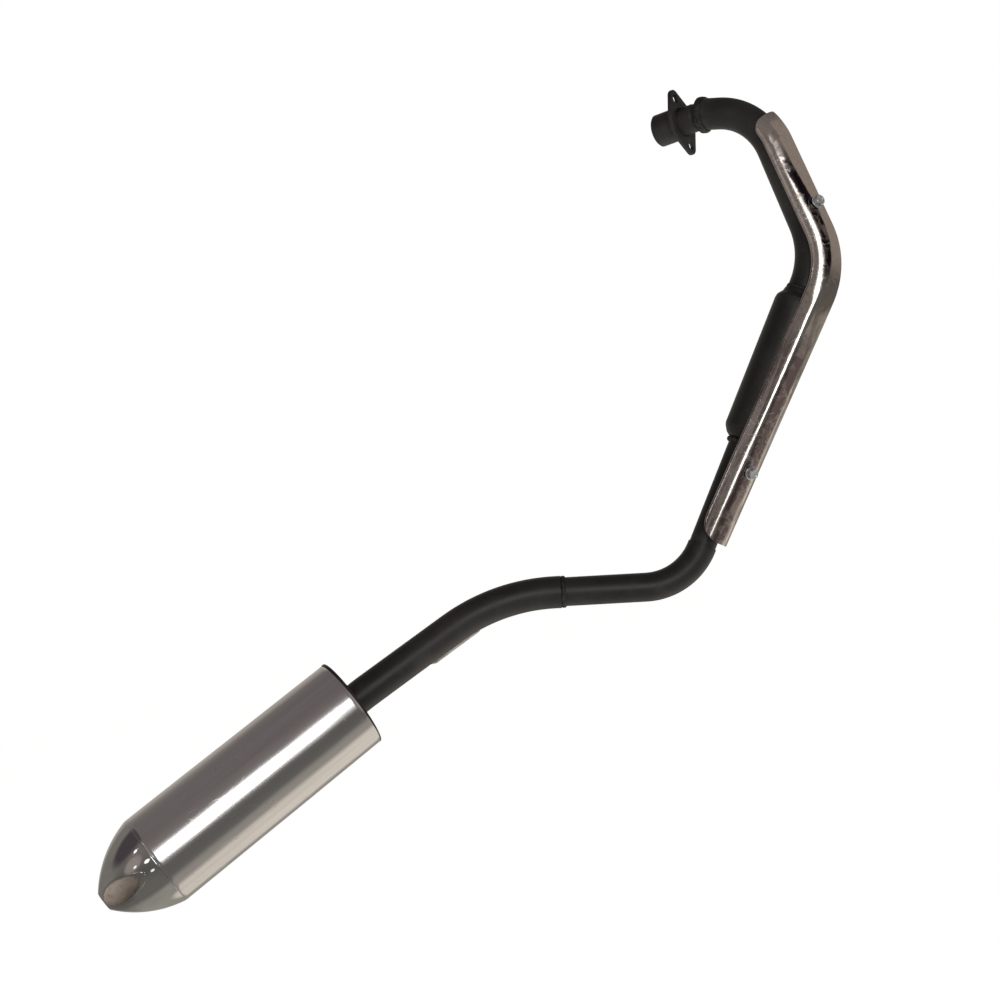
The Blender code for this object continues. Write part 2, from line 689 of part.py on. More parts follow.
def make_tail_cone(axis, plug):
    """The bullet end and the slash-cut outlet tube that comes out through its side."""
    outer = [(radius, SLEEVE_LENGTH + along + FIT) for radius, along in cone_profile(0.0)]
    inner = [(radius, SLEEVE_LENGTH + along + FIT) for radius, along in cone_profile(CONE_SHEET)]
    inner = [(min(radius, plug - CONE_SHEET), along) for radius, along in inner]
    seam = SLEEVE_LENGTH + FIT
    tip = SLEEVE_LENGTH + CONE_LENGTH + FIT
    profile = [(plug, seam - CONE_SKIRT), (plug, seam)] + outer
    profile += [(0.0, tip), (0.0, tip - CONE_SHEET)]
    profile += list(reversed(inner))
    profile += [(plug - CONE_SHEET, seam - CONE_SKIRT)]
    cone = turned("tail_cone", profile, axis, "chrome", steps=48)

    side = OUTLET_FACING - SILENCER_AXIS * OUTLET_FACING.dot(SILENCER_AXIS)
    side.normalize()
    leaving = SILENCER_AXIS * math.cos(OUTLET_LEAN) - side * math.sin(OUTLET_LEAN)
    middle = SILENCER_RIM + SILENCER_AXIS * (seam + OUTLET_MIDDLE[0]) + side * OUTLET_MIDDLE[1]
    outlet_axis = add_axis("outlet_axis", middle, leaving)
    start = OUTLET_START - OUTLET_MIDDLE[0]
    bore = cutter(cylinder("cone_hole", OUTLET_RADIUS + FIT, start - 2 * MM, CONE_HOLE_END,
                           outlet_axis, CUTTERS, 32))
    combine(cone, bore, "DIFFERENCE")
    tube = turned("outlet_tube", [
        (OUTLET_RADIUS, start),
        (OUTLET_RADIUS, OUTLET_BLANK_END),
        (OUTLET_BORE, OUTLET_BLANK_END),
        (OUTLET_BORE, start),
    ], outlet_axis, "raw_steel", steps=32)
    envelope = turned("cone_envelope", [(0.0, seam - CONE_SKIRT),
                                        (SLEEVE_RADIUS, seam - CONE_SKIRT)] + outer + [(0.0, tip)],
                      axis, None, steps=48, collection=CUTTERS)
    combine(tube, cutter(envelope), "INTERSECT")


def make_hanger():
    """A flat plate tangent to the tail pipe's underside, reaching inboard, with one bolt hole."""
    middle, along = point_at(RUN, WIDE_BEND_END + HANGER_PLACE)
    inboard = -(OUTBOARD - along * OUTBOARD.dot(along)).normalized()
    down = along.cross(inboard).normalized()
    if down.z > 0:
        down.negate()
    near = HANGER_NEAR
    far = near + HANGER_WIDTH
    half = HANGER_LENGTH / 2
    outline = [(-half, near), (half, near)]
    outline += arc_points((half - HANGER_CORNER, far - HANGER_CORNER), HANGER_CORNER,
                          0.0, math.pi / 2, 4)
    outline += arc_points((-half + HANGER_CORNER, far - HANGER_CORNER), HANGER_CORNER,
                          math.pi / 2, math.pi, 4)
    plate = made_mesh(flat_outline("hanger_bracket", outline, HANGER_THICKNESS, PARTS), PARTS)
    facing = along.cross(inboard)
    turn = Matrix((along, inboard, facing)).transposed().to_4x4()
    drop = TAIL_RADIUS + FIT + HANGER_THICKNESS / 2
    place = Matrix.Translation(middle + down * drop)
    plate.matrix_world = place @ turn
    hole_axis = add_axis("hanger_hole_axis", middle + down * drop + inboard * HANGER_HOLE_IN, down)
    hole = cutter(cylinder("hanger_hole", HANGER_HOLE_RADIUS, -4 * HANGER_THICKNESS,
                           4 * HANGER_THICKNESS, hole_axis, CUTTERS, 24))
    combine(plate, hole, "DIFFERENCE")
    paint(plate, "raw_steel")
    depth = TAIL_RADIUS - WELD_WIRE
    aside = math.sqrt((TAIL_RADIUS + WELD_WIRE + 2 * FIT) ** 2 - depth ** 2)
    spot = middle + down * depth + inboard * aside
    reach = along * (half - HANGER_WELD_SHY)
    ends = [spot - reach, spot + reach]
    weld = made_mesh(add_curve("hanger_weld", ends, WELD_WIRE, 8, True, PARTS), PARTS)
    paint(weld, "black_steel")


FINISHES = {
    "black_steel": ((0.035, 0.034, 0.033), 0.55, 0.3),
    "chrome": ((0.72, 0.69, 0.66), 0.08, 1.0),
    "aluminium": ((0.80, 0.79, 0.77), 0.22, 1.0),
    "zinc": ((0.62, 0.63, 0.64), 0.32, 1.0),
    "raw_steel": ((0.36, 0.34, 0.32), 0.5, 1.0),
    "glass_wool": ((0.85, 0.80, 0.62), 0.95, 0.0),
}

clear_scene()
PARTS = make_collection("racing_exhaust_system")
CUTTERS = make_collection("cutters")
PORT_AXIS = add_axis("port_axis", Vector(), Vector((1.0, 0.0, 0.0)))

RUN, BEND_ENDS = bend_run(RUN_CORNERS, RUN_RADII)
SECOND_BEND_END = BEND_ENDS[1]
THIRD_BEND_START = BEND_ENDS[2] - bend_length(2)
WIDE_BEND_START = BEND_ENDS[3] - bend_length(3)
WIDE_BEND_END = BEND_ENDS[3]
RUN_END = BEND_ENDS[4] + (RUN_CORNERS[-1] - point_at(RUN, BEND_ENDS[4])[0]).length

make_spigot()
make_flange()
make_pipes()
make_chamber()
make_shield()
make_silencer()
make_hanger()
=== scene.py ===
import math

import bmesh
import bpy
from mathutils import Matrix, Vector, noise


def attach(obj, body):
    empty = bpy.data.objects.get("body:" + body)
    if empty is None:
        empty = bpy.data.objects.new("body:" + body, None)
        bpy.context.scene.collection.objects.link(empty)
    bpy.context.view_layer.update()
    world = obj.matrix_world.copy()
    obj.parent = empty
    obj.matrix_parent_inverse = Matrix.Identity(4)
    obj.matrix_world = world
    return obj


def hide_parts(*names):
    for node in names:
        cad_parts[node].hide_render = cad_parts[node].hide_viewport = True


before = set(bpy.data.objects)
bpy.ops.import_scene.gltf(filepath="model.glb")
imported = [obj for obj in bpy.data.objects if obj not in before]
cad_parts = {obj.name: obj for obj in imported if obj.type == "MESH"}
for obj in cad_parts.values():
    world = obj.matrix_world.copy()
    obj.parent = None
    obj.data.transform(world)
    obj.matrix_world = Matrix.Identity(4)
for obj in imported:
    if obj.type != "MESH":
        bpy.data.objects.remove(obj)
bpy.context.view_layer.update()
mm = 0.001


def inMm(x, y, z):
    return Vector((x, y, z)) * mm


# A signal is one output of a shader tree. Sums and products of signals add Math nodes.
class Signal:
    def __init__(self, tree, socket):
        self.tree = tree
        self.socket = socket

    def calculate(self, operation, first, second):
        return self.tree.add("ShaderNodeMath", {"operation": operation}, {0: first, 1: second})

    def __add__(self, other):
        return self.calculate("ADD", self, other)

    def __sub__(self, other):
        return self.calculate("SUBTRACT", self, other)

    def __rsub__(self, other):
        return self.calculate("SUBTRACT", other, self)

    def __mul__(self, other):
        return self.calculate("MULTIPLY", self, other)

    __radd__ = __add__
    __rmul__ = __mul__

    def between(self, low, high):  # 0 below low, 1 above high, smooth between
        settings = {"interpolation_type": "SMOOTHSTEP"}
        return self.tree.add("ShaderNodeMapRange", settings,
                             {"Value": self, "From Min": low, "From Max": high})


class ShaderTree:
    def __init__(self, nodeTree):
        self.nodes = nodeTree.nodes
        self.links = nodeTree.links
        self.nodes.clear()

    def connect(self, value, socket):
        if isinstance(value, Signal):
            self.links.new(value.socket, socket)
        elif isinstance(value, (tuple, list)) and len(value) == 3 and socket.type == "RGBA":
            socket.default_value = (*value, 1.0)
        else:
            socket.default_value = value

    def add(self, kind, settings, inputs, output=0):
        node = self.nodes.new(kind)
        for key, value in settings.items():
            if key == "stops":
                self.setStops(node.color_ramp, value)
            else:
                setattr(node, key, value)
        for key, value in inputs.items():
            self.connect(value, node.inputs[key])
        return Signal(self, node.outputs[output])

    def setStops(self, ramp, stops):
        while len(ramp.elements) < len(stops):
            ramp.elements.new(1.0)
        for element, (place, color) in zip(ramp.elements, stops):
            element.position = place
            element.color = (*color, 1.0)

    def mix(self, factor, first, second):
        return self.add("ShaderNodeMix", {"data_type": "RGBA"}, {0: factor, 6: first, 7: second}, 2)

    def ramp(self, factor, stops):
        return self.add("ShaderNodeValToRGB", {"stops": stops}, {"Fac": factor})


class Finish(ShaderTree):
    def __init__(self, name, color, roughness, metallic=0.0):
        self.material = bpy.data.materials.new(name)
        self.material.use_nodes = True
        super().__init__(self.material.node_tree)
        self.shader = self.nodes.new("ShaderNodeBsdfPrincipled")
        end = self.nodes.new("ShaderNodeOutputMaterial")
        self.links.new(self.shader.outputs[0], end.inputs["Surface"])
        self.coordinates = self.add("ShaderNodeTexCoord", {}, {}, "Object")
        self.set("Base Color", color)
        self.set("Roughness", roughness)
        self.set("Metallic", metallic)

    def set(self, name, value):
        self.connect(value, self.shader.inputs[name])

    def stretched(self, scale, turn=(0.0, 0.0, 0.0), centre=(0.0, 0.0, 0.0)):
        turned = self.add("ShaderNodeMapping", {"vector_type": "TEXTURE"},
                          {"Vector": self.coordinates, "Location": centre, "Rotation": turn})
        return self.add("ShaderNodeMapping", {}, {"Vector": turned, "Scale": scale})

    def noise(self, scale, detail=3.0, roughness=0.55, vector=None, distortion=0.0):
        return self.add("ShaderNodeTexNoise", {},
                        {"Vector": vector or self.coordinates, "Scale": scale, "Detail": detail,
                         "Roughness": roughness, "Distortion": distortion})

    def specks(self, scale, size, vector=None):  # 1 inside small spots spread at random
        spots = self.add("ShaderNodeTexVoronoi", {"feature": "F1"},
                         {"Vector": vector or self.coordinates, "Scale": scale})
        return 1 - spots.between(size * 0.5, size)

    def attribute(self, name):
        return self.add("ShaderNodeAttribute", {"attribute_name": name}, {}, "Fac")

    def scratches(self, scale, width, vector=None):  # thin wandering lines
        lines = self.noise(scale, 2.0, 0.5, vector, 0.4)
        away = self.add("ShaderNodeMath", {"operation": "ABSOLUTE"}, {0: lines - 0.5})
        return 1 - away.between(width * 0.3, width)

    def bump(self, height, strength, distance):
        lifted = self.add("ShaderNodeBump", {}, {"Height": height, "Strength": strength,
                                                 "Distance": distance * mm})
        self.set("Normal", lifted)


# Finishes. Each one is a function that returns its material.

def makeSatinBlack():
    finish = Finish("satinBlackPaint", (0.02, 0.02, 0.02), 0.45)
    cloud = finish.noise(9.0, 4.0, 0.6)
    dust = finish.noise(38.0, 5.0, 0.65).between(0.50, 0.78)
    grain = finish.noise(900.0, 3.0, 0.6)
    specks = finish.specks(420.0, 0.10) * finish.noise(30.0).between(0.5, 0.62)
    color = finish.mix(cloud.between(0.35, 0.68), (0.0165, 0.0155, 0.0145), (0.034, 0.031, 0.028))
    color = finish.mix(dust * 0.45, color, (0.062, 0.054, 0.044))
    finish.set("Base Color", finish.mix(specks * 0.35, color, (0.11, 0.10, 0.09)))
    finish.set("Roughness", 0.30 + cloud * 0.18 + dust * 0.12 + grain * 0.06)
    finish.bump(grain + dust * 0.6, 0.35, 0.12)
    return finish.material


def makeWeldBlack():
    finish = Finish("paintedWeld", (0.02, 0.02, 0.02), 0.5)
    lumps = finish.noise(260.0, 3.0, 0.6)
    rust = finish.noise(120.0, 4.0, 0.7).between(0.60, 0.74)
    color = finish.mix(lumps.between(0.35, 0.7), (0.012, 0.0115, 0.011), (0.034, 0.031, 0.028))
    finish.set("Base Color", finish.mix(rust * 0.5, color, (0.10, 0.055, 0.03)))
    finish.set("Roughness", 0.42 + lumps * 0.25)
    finish.bump(lumps, 0.5, 0.25)
    return finish.material


def makeShieldChrome(turn):
    finish = Finish("shieldChrome", (0.70, 0.67, 0.64), 0.08, 1.0)
    # shade: where the painted shade band lies, a darker reflection band beside the highlight on the
    # lower sheet
    shade = finish.attribute("shade")
    # streak: a painted dark reflection, near black, laid over the upper sheet where the window's
    # highlight would show
    streak = finish.attribute("streak")
    pressed = finish.attribute("pressed")
    dented = finish.attribute("dented")
    blotch = finish.noise(58.0, 5.0, 0.66, None, 0.9)
    stain = blotch.between(0.47, 0.56)
    fine = finish.noise(260.0, 4.0, 0.7).between(0.48, 0.64)
    drawn = finish.noise(9.0, 4.0, 0.65, finish.stretched((26.0, 26.0, 1.6), turn))
    dents = finish.noise(70.0, 1.0, 0.4, None, 0.7)
    rings = finish.scratches(64.0, 0.014) * finish.noise(24.0, 2.0).between(0.46, 0.56)
    lines = finish.mix(drawn.between(0.40, 0.58), (0.40, 0.34, 0.32), (0.92, 0.86, 0.80))
    clean = finish.mix(finish.attribute("brushed"), (0.86, 0.79, 0.72), lines)
    worn = finish.mix(stain, (0.80, 0.73, 0.68), (0.44, 0.37, 0.33))
    color = finish.mix(0.15 + fine * 0.55, clean, worn)
    # paintedShadeBand: painted shade, a darker purple reflection band, mottled with real stains
    paintedShadeBand = finish.mix(stain * 0.7 + fine * stain * 0.3, (0.27, 0.19, 0.20), (0.62, 0.53, 0.50))
    color = finish.mix(pressed, color, finish.mix(fine * 0.4, (0.80, 0.71, 0.64), (0.60, 0.52, 0.46)))
    color = finish.mix(shade, color, paintedShadeBand)
    # painted dark reflection, broken up a little by the stains
    color = finish.mix(streak * (1 - stain * 0.35), color, (0.030, 0.021, 0.027))
    color = finish.mix(rings * 0.6, color, (0.82, 0.79, 0.75))
    finish.set("Base Color", color)
    finish.set("Roughness", 0.075 + stain * 0.05 + fine * 0.09 + rings * 0.2)
    relief = blotch * 0.5 + fine * 0.12 + rings * 0.25 + drawn * 0.25
    finish.bump(relief * (1 - pressed * 0.8) + dents * dented * 9.0, 0.24, 0.30)
    return finish.material


def makeSleeveAluminium(turn, centre):
    finish = Finish("polishedAluminium", (0.90, 0.885, 0.865), 0.16, 1.0)
    along = finish.stretched((60.0, 60.0, 2.2), turn, centre)      # grain runs along the sleeve
    brushing = finish.noise(14.0, 4.0, 0.62, along)
    cloud = finish.noise(16.0, 3.0)
    nicks = finish.specks(210.0, 0.16) * finish.noise(34.0, 3.0).between(0.54, 0.62)
    lines = finish.scratches(40.0, 0.007, finish.stretched((1.0, 1.0, 0.35), turn, centre))
    marks = lines * finish.noise(20.0, 2.0).between(0.53, 0.62)
    bands = finish.noise(7.0, 3.0, 0.6, finish.stretched((9.0, 9.0, 0.35), turn, centre))
    color = finish.mix(cloud, (0.93, 0.91, 0.885), (0.88, 0.86, 0.845))
    color = finish.mix(bands.between(0.42, 0.60) * 0.55, color, (0.74, 0.70, 0.70))
    finish.set("Base Color", finish.mix(nicks * 0.5, color, (0.45, 0.43, 0.41)))
    finish.set("Roughness", 0.13 + brushing * 0.09 + marks * 0.2 + nicks * 0.2)
    finish.bump(brushing * 0.6 + nicks * -0.9 + marks * 0.7, 0.20, 0.12)
    return finish.material


def makeBulletChrome():
    finish = Finish("bulletChrome", (0.80, 0.79, 0.77), 0.05, 1.0)
    cloud = finish.noise(30.0, 4.0, 0.6)
    haze = cloud.between(0.48, 0.7)
    hairs = finish.scratches(52.0, 0.006) * finish.noise(26.0).between(0.52, 0.64)
    finish.set("Base Color", finish.mix(haze, (0.82, 0.805, 0.785), (0.72, 0.70, 0.685)))
    finish.set("Roughness", 0.035 + haze * 0.04 + hairs * 0.18)
    finish.bump(cloud * 0.4 + hairs * 0.5, 0.05, 0.15)
    return finish.material


def makeZinc():
    finish = Finish("zincPlate", (0.60, 0.63, 0.66), 0.3, 0.9)
    grain = finish.noise(620.0, 4.0, 0.65)
    wear = finish.noise(230.0, 3.0).between(0.5, 0.65)
    finish.set("Base Color", finish.mix(wear, (0.80, 0.83, 0.85), (0.52, 0.53, 0.52)))
    finish.set("Roughness", 0.18 + grain * 0.14 + wear * 0.10)
    finish.bump(grain, 0.2, 0.06)
    return finish.material


def makeSootyTube():
    finish = Finish("sootyTube", (0.40, 0.33, 0.28), 0.8, 0.35)
    cloud = finish.noise(120.0, 5.0, 0.7)
    soot = finish.noise(60.0, 4.0, 0.6).between(0.46, 0.66)
    color = finish.ramp(cloud, [(0.3, (0.30, 0.24, 0.20)), (0.5, (0.47, 0.39, 0.33)),
                                (0.72, (0.60, 0.53, 0.46))])
    finish.set("Base Color", finish.mix(soot * 0.55, color, (0.14, 0.12, 0.11)))
    finish.set("Roughness", 0.55 + cloud * 0.35)
    finish.bump(cloud, 0.4, 0.25)
    return finish.material


def makeBareSteel():
    finish = Finish("bareSteel", (0.45, 0.43, 0.41), 0.4, 1.0)
    grain = finish.noise(340.0, 4.0, 0.65)
    tint = finish.noise(44.0, 4.0, 0.6).between(0.42, 0.7)
    finish.set("Base Color", finish.mix(tint, (0.52, 0.50, 0.47), (0.36, 0.29, 0.22)))
    finish.set("Roughness", 0.30 + grain * 0.25)
    finish.bump(grain, 0.25, 0.08)
    return finish.material


def makePlateSteel():
    finish = Finish("plateSteel", (0.6, 0.58, 0.55), 0.5, 0.6)
    grain = finish.noise(300.0, 4.0, 0.65)
    tint = finish.noise(60.0, 4.0, 0.6).between(0.45, 0.7)
    finish.set("Base Color", finish.mix(tint, (0.72, 0.69, 0.64), (0.40, 0.31, 0.23)))
    finish.set("Roughness", 0.42 + grain * 0.25)
    finish.bump(grain, 0.25, 0.08)
    return finish.material


def makeGlassWool():
    finish = Finish("glassWool", (0.80, 0.74, 0.55), 0.95)
    fibres = finish.noise(240.0, 6.0, 0.75, finish.stretched((1.0, 3.0, 0.4)))
    finish.set("Base Color", finish.mix(fibres, (0.60, 0.52, 0.33), (0.90, 0.86, 0.70)))
    finish.bump(fibres, 0.8, 0.8)
    return finish.material


# Centrelines

def bendPath(corners, radii, arcStep=math.radians(2.0)):  # straight runs joined by arcs
    points = [corners[0].copy()]
    arcEnds = []
    for corner, before, after, radius in zip(corners[1:-1], corners, corners[2:], radii):
        arriving = (corner - before).normalized()
        leaving = (after - corner).normalized()
        turn = arriving.angle(leaving)
        start = corner - arriving * radius * math.tan(turn / 2)
        towardCentre = (leaving - arriving).normalized()
        centre = corner + towardCentre * (radius / math.cos(turn / 2))
        spinAxis = arriving.cross(leaving).normalized()
        steps = math.ceil(turn / arcStep)
        for i in range(steps + 1):
            points.append(centre + Matrix.Rotation(turn * i / steps, 3, spinAxis) @ (start - centre))
        arcEnds.append(pathLength(points))
    points.append(corners[-1].copy())
    return points, arcEnds


def pathLength(points):
    return sum((b - a).length for a, b in zip(points, points[1:]))


def placeAt(points, distance):
    for a, b in zip(points, points[1:]):
        step = (b - a).length
        if distance <= step:
            return a.lerp(b, distance / step)
        distance -= step
    return points[-1] + (points[-1] - points[-2]).normalized() * distance


def directionAt(points, distance):
    ahead = placeAt(points, distance + 1.5 * mm)
    behind = placeAt(points, max(0.0, distance - 1.5 * mm))
    return (ahead - behind).normalized()


def spaced(start, end, step):
    count = max(1, math.ceil((end - start) / step))
    return [start + (end - start) * i / count for i in range(count + 1)]


def carriedFacings(points, distances, facing, atEnd=False):
    # a direction square to the path, carried along it without twist
    order = list(reversed(distances)) if atEnd else list(distances)
    facings = []
    before = directionAt(points, order[0])
    for distance in order:
        direction = directionAt(points, distance)
        facing = before.rotation_difference(direction) @ facing
        facing = (facing - direction * facing.dot(direction)).normalized()
        facings.append(facing.copy())
        before = direction
    return list(reversed(facings)) if atEnd else facings


# Meshes

def finishMesh(edit, name, sharp=38.0, merge=0.002 * mm):
    bmesh.ops.remove_doubles(edit, verts=edit.verts, dist=merge)
    bmesh.ops.dissolve_degenerate(edit, edges=edit.edges, dist=merge / 10)
    bmesh.ops.recalc_face_normals(edit, faces=edit.faces)
    mesh = bpy.data.meshes.new(name)
    edit.to_mesh(mesh)
    edit.free()
    mesh.shade_smooth()
    mesh.set_sharp_from_angle(angle=math.radians(sharp))
    obj = bpy.data.objects.new(name, mesh)
    bpy.context.scene.collection.objects.link(obj)
    return obj


def joinRings(edit, rings, around=True):
    for a, b in zip(rings, rings[1:]):
        count = len(a)
        for i in range(count if around else count - 1):
            j = (i + 1) % count
            edit.faces.new((a[i], a[j], b[j], b[i]))


def roundedCorners(corners, steps=4):  # each corner is (x, y, fillet radius)
    points = []
    count = len(corners)
    for i, (x, y, radius) in enumerate(corners):
        here = Vector((x, y))
        before = Vector(corners[i - 1][:2]) - here
        after = Vector(corners[(i + 1) % count][:2]) - here
        if radius <= 0 or before.length < 1e-9 or after.length < 1e-9:
            points.append(here)
            continue
        angle = before.angle(after)
        reach = min(radius / math.tan(angle / 2), before.length * 0.49, after.length * 0.49)
        first = here + before.normalized() * reach
        last = here + after.normalized() * reach
        for k in range(steps + 1):
            t = k / steps
            points.append(first.lerp(here, t).lerp(here.lerp(last, t), t))
    return points


def steady(radius):  # the same radius everywhere
    return lambda place: radius


def turnedRing(edit, origin, axis, sides, radiusAt, along):  # sizes in mm, radius by angle
    turn = axis.to_track_quat("Z", "Y").to_matrix()
    ring = []
    for i in range(sides):
        angle = math.tau * i / sides
        radius = radiusAt(angle)
        spot = Vector((radius * math.cos(angle), radius * math.sin(angle), along)) * mm
        ring.append(edit.verts.new(origin + turn @ spot))
    return ring


def lathe(name, corners, origin, axis, sides=128):
    # corners of the section as (radius, distance along the axis, fillet), all in mm
    edit = bmesh.new()
    rings = [turnedRing(edit, origin, axis, sides, steady(radius), along)
             for radius, along in roundedCorners(corners)]
    onAxis = corners[0][0] == 0 and corners[-1][0] == 0
    joinRings(edit, rings if onAxis else rings + [rings[0]])
    return finishMesh(edit, name)


def pipe(name, points, start, end, radius, wall, sides=64, spacing=4 * mm):
    distances = spaced(start, end, spacing)
    facings = carriedFacings(points, distances, Vector((0.0, 0.0, 1.0)).cross(
        directionAt(points, start)) + Vector((0.0, 0.0, 1e-6)))
    edit = bmesh.new()
    outer, inner = [], []
    for distance, facing in zip(distances, facings):
        centre = placeAt(points, distance)
        side = directionAt(points, distance).cross(facing)
        for rings, reach in ((outer, radius), (inner, radius - wall)):
            angles = [math.tau * i / sides for i in range(sides)]
            rings.append([edit.verts.new(
                centre + (facing * math.cos(a) + side * math.sin(a)) * reach) for a in angles])
    joinRings(edit, outer + inner[::-1] + [outer[0]])
    return finishMesh(edit, name)


def applied(obj, sharp=38.0):  # the object's modifiers made part of its mesh
    graph = bpy.context.evaluated_depsgraph_get()
    mesh = bpy.data.meshes.new_from_object(obj.evaluated_get(graph))
    mesh.transform(obj.matrix_world)
    name = obj.name
    bpy.data.objects.remove(obj)
    edit = bmesh.new()
    edit.from_mesh(mesh)
    bpy.data.meshes.remove(mesh)
    return finishMesh(edit, name, sharp)


def cut(obj, tool, operation="DIFFERENCE"):
    modifier = obj.modifiers.new("cut", "BOOLEAN")
    modifier.object = tool
    modifier.operation = operation
    bpy.context.view_layer.update()
    result = applied(obj)
    bpy.data.objects.remove(tool)
    return result


def rod(name, radius, start, end, origin, axis, sides=64):  # a plain cutting tool
    return lathe(name, [(0, start, 0), (radius, start, 0), (radius, end, 0), (0, end, 0)],
                 origin, axis, sides)


def plate(name, outlines, thickness, edge, place):
    # a flat plate with holes: the first outline is its edge, and each other one a hole
    curve = bpy.data.curves.new(name, "CURVE")
    curve.dimensions = "2D"
    curve.fill_mode = "BOTH"
    curve.extrude = thickness / 2 - edge
    curve.bevel_depth = edge
    curve.bevel_resolution = 2
    curve.offset = -edge
    for outline in outlines:
        spline = curve.splines.new("POLY")
        spline.points.add(len(outline) - 1)
        spline.use_cyclic_u = True
        for point, (x, y) in zip(spline.points, outline):
            point.co = (x, y, 0.0, 1.0)
    obj = bpy.data.objects.new(name, curve)
    bpy.context.scene.collection.objects.link(obj)
    obj.matrix_world = place
    bpy.context.view_layer.update()
    return applied(obj)


def arc(centre, radius, start, end, steps):
    angles = [start + (end - start) * i / steps for i in range(steps + 1)]
    return [(centre[0] + radius * math.cos(a), centre[1] + radius * math.sin(a)) for a in angles]


def circle(centre, radius, steps=64):
    return arc(centre, radius, 0.0, math.tau, steps)[:-1]


def coat(obj, material, body, slot, *nodes):
    obj.data.materials.clear()
    obj.data.materials.append(material)
    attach(obj, body)
    if nodes:
        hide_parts(*nodes)
    print("made", obj.name, len(obj.data.polygons), "faces")


# Welds, by Geometry Nodes: overlapping scales round a ring

def weldTree(material):
    tree = bpy.data.node_groups.new("weldBead", "GeometryNodeTree")
    inputs = {"Ring Radius": 0.016, "Scale Count": 60, "Half Width": 0.003, "Height": 0.0015,
              "Unevenness": 0.2, "Seed": 1}
    for name, value in inputs.items():
        kind = "NodeSocketInt" if isinstance(value, int) else "NodeSocketFloat"
        tree.interface.new_socket(name, in_out="INPUT", socket_type=kind).default_value = value
    tree.interface.new_socket("Geometry", in_out="OUTPUT", socket_type="NodeSocketGeometry")
    given = tree.nodes.new("NodeGroupInput").outputs

    def add(kind, inputs, **settings):
        node = tree.nodes.new(kind)
        for key, value in settings.items():
            setattr(node, key, value)
        for key, value in inputs.items():
            if isinstance(value, bpy.types.NodeSocket):
                tree.links.new(value, node.inputs[key])
            else:
                node.inputs[key].default_value = value
        return node.outputs

    ring = add("GeometryNodeCurvePrimitiveCircle", {"Resolution": 96, "Radius": given["Ring Radius"]},
               mode="RADIUS")
    spots = add("GeometryNodeCurveToPoints", {"Curve": ring[0], "Count": given["Scale Count"]},
                mode="COUNT")
    scale = add("GeometryNodeMeshIcoSphere", {"Radius": 1.0, "Subdivisions": 2})
    size = add("ShaderNodeCombineXYZ", {"X": given["Height"], "Y": given["Half Width"],
                                        "Z": given["Half Width"]})
    low = add("ShaderNodeMath", {0: 1.0, 1: given["Unevenness"]}, operation="SUBTRACT")
    high = add("ShaderNodeMath", {0: 1.0, 1: given["Unevenness"]}, operation="ADD")
    vary = add("FunctionNodeRandomValue", {2: low[0], 3: high[0], "Seed": given["Seed"]},
               data_type="FLOAT")
    varied = add("ShaderNodeVectorMath", {0: size[0], 3: vary[1]}, operation="SCALE")
    facing = add("FunctionNodeAlignRotationToVector",
                 {"Vector": add("GeometryNodeInputPosition", {})[0]}, axis="X", pivot_axis="Z")
    copies = add("GeometryNodeInstanceOnPoints",
                 {"Points": spots[0], "Instance": scale[0], "Rotation": facing[0],
                  "Scale": varied[0]})
    real = add("GeometryNodeRealizeInstances", {"Geometry": copies[0]})
    smooth = add("GeometryNodeSetShadeSmooth", {"Geometry": real[0]})
    coated = add("GeometryNodeSetMaterial", {"Geometry": smooth[0], "Material": material})
    end = tree.nodes.new("NodeGroupOutput")
    tree.links.new(coated[0], end.inputs[0])
    return tree


def weldBead(name, tree, origin, axis, **sizes):
    mesh = bpy.data.meshes.new(name)
    obj = bpy.data.objects.new(name, mesh)
    bpy.context.scene.collection.objects.link(obj)
    modifier = obj.modifiers.new("bead", "NODES")
    modifier.node_group = tree
    names = {item.name: item.identifier for item in tree.interface.items_tree}
    for key, value in sizes.items():
        modifier[names[key.replace("_", " ")]] = value
    turn = axis.to_track_quat("Z", "Y").to_matrix().to_4x4()
    obj.matrix_world = Matrix.Translation(origin) @ turn
    bpy.context.view_layer.update()
    graph = bpy.context.evaluated_depsgraph_get()
    made = bpy.data.meshes.new_from_object(obj.evaluated_get(graph))
    made.transform(obj.matrix_world)
    obj.modifiers.clear()
    obj.data = made
    obj.matrix_world = Matrix.Identity(4)
    bpy.data.meshes.remove(mesh)
    made.name = name
    return obj


satinBlack = makeSatinBlack()
weldBlack = makeWeldBlack()
bulletChrome = makeBulletChrome()
zincPlate = makeZinc()
sootyTube = makeSootyTube()
bareSteel = makeBareSteel()
plateSteel = makePlateSteel()
glassWool = makeGlassWool()
print("finishes made")

# The pipe run

run = dict(
    corners=[inMm(30, 0, 0), inMm(85.0, 0.7, -15.5), inMm(110, 12.7, -165),
             inMm(-50.7, -94.6, -455), inMm(-203, -198.3, -426), inMm(-296.5, -315.5, -488),
             inMm(-311.2, -336.3, -499.6)],
    radii=[64 * mm, 82 * mm, 62 * mm, 175 * mm, 100 * mm],
    wall=1.5 * mm,
    header=15.5 * mm, outlet=13.3 * mm, mid=14.3 * mm, tail=15.9 * mm)
path, arcEnds = bendPath(run["corners"], run["radii"])


def arcLength(index):
    arriving = run["corners"][index + 1] - run["corners"][index]
    leaving = run["corners"][index + 2] - run["corners"][index + 1]
    return run["radii"][index] * arriving.angle(leaving)


chamberStart = arcEnds[1]
outletEnd = arcEnds[2] - arcLength(2) - 2 * mm
tailStart = arcEnds[3] - arcLength(3) - 7 * mm


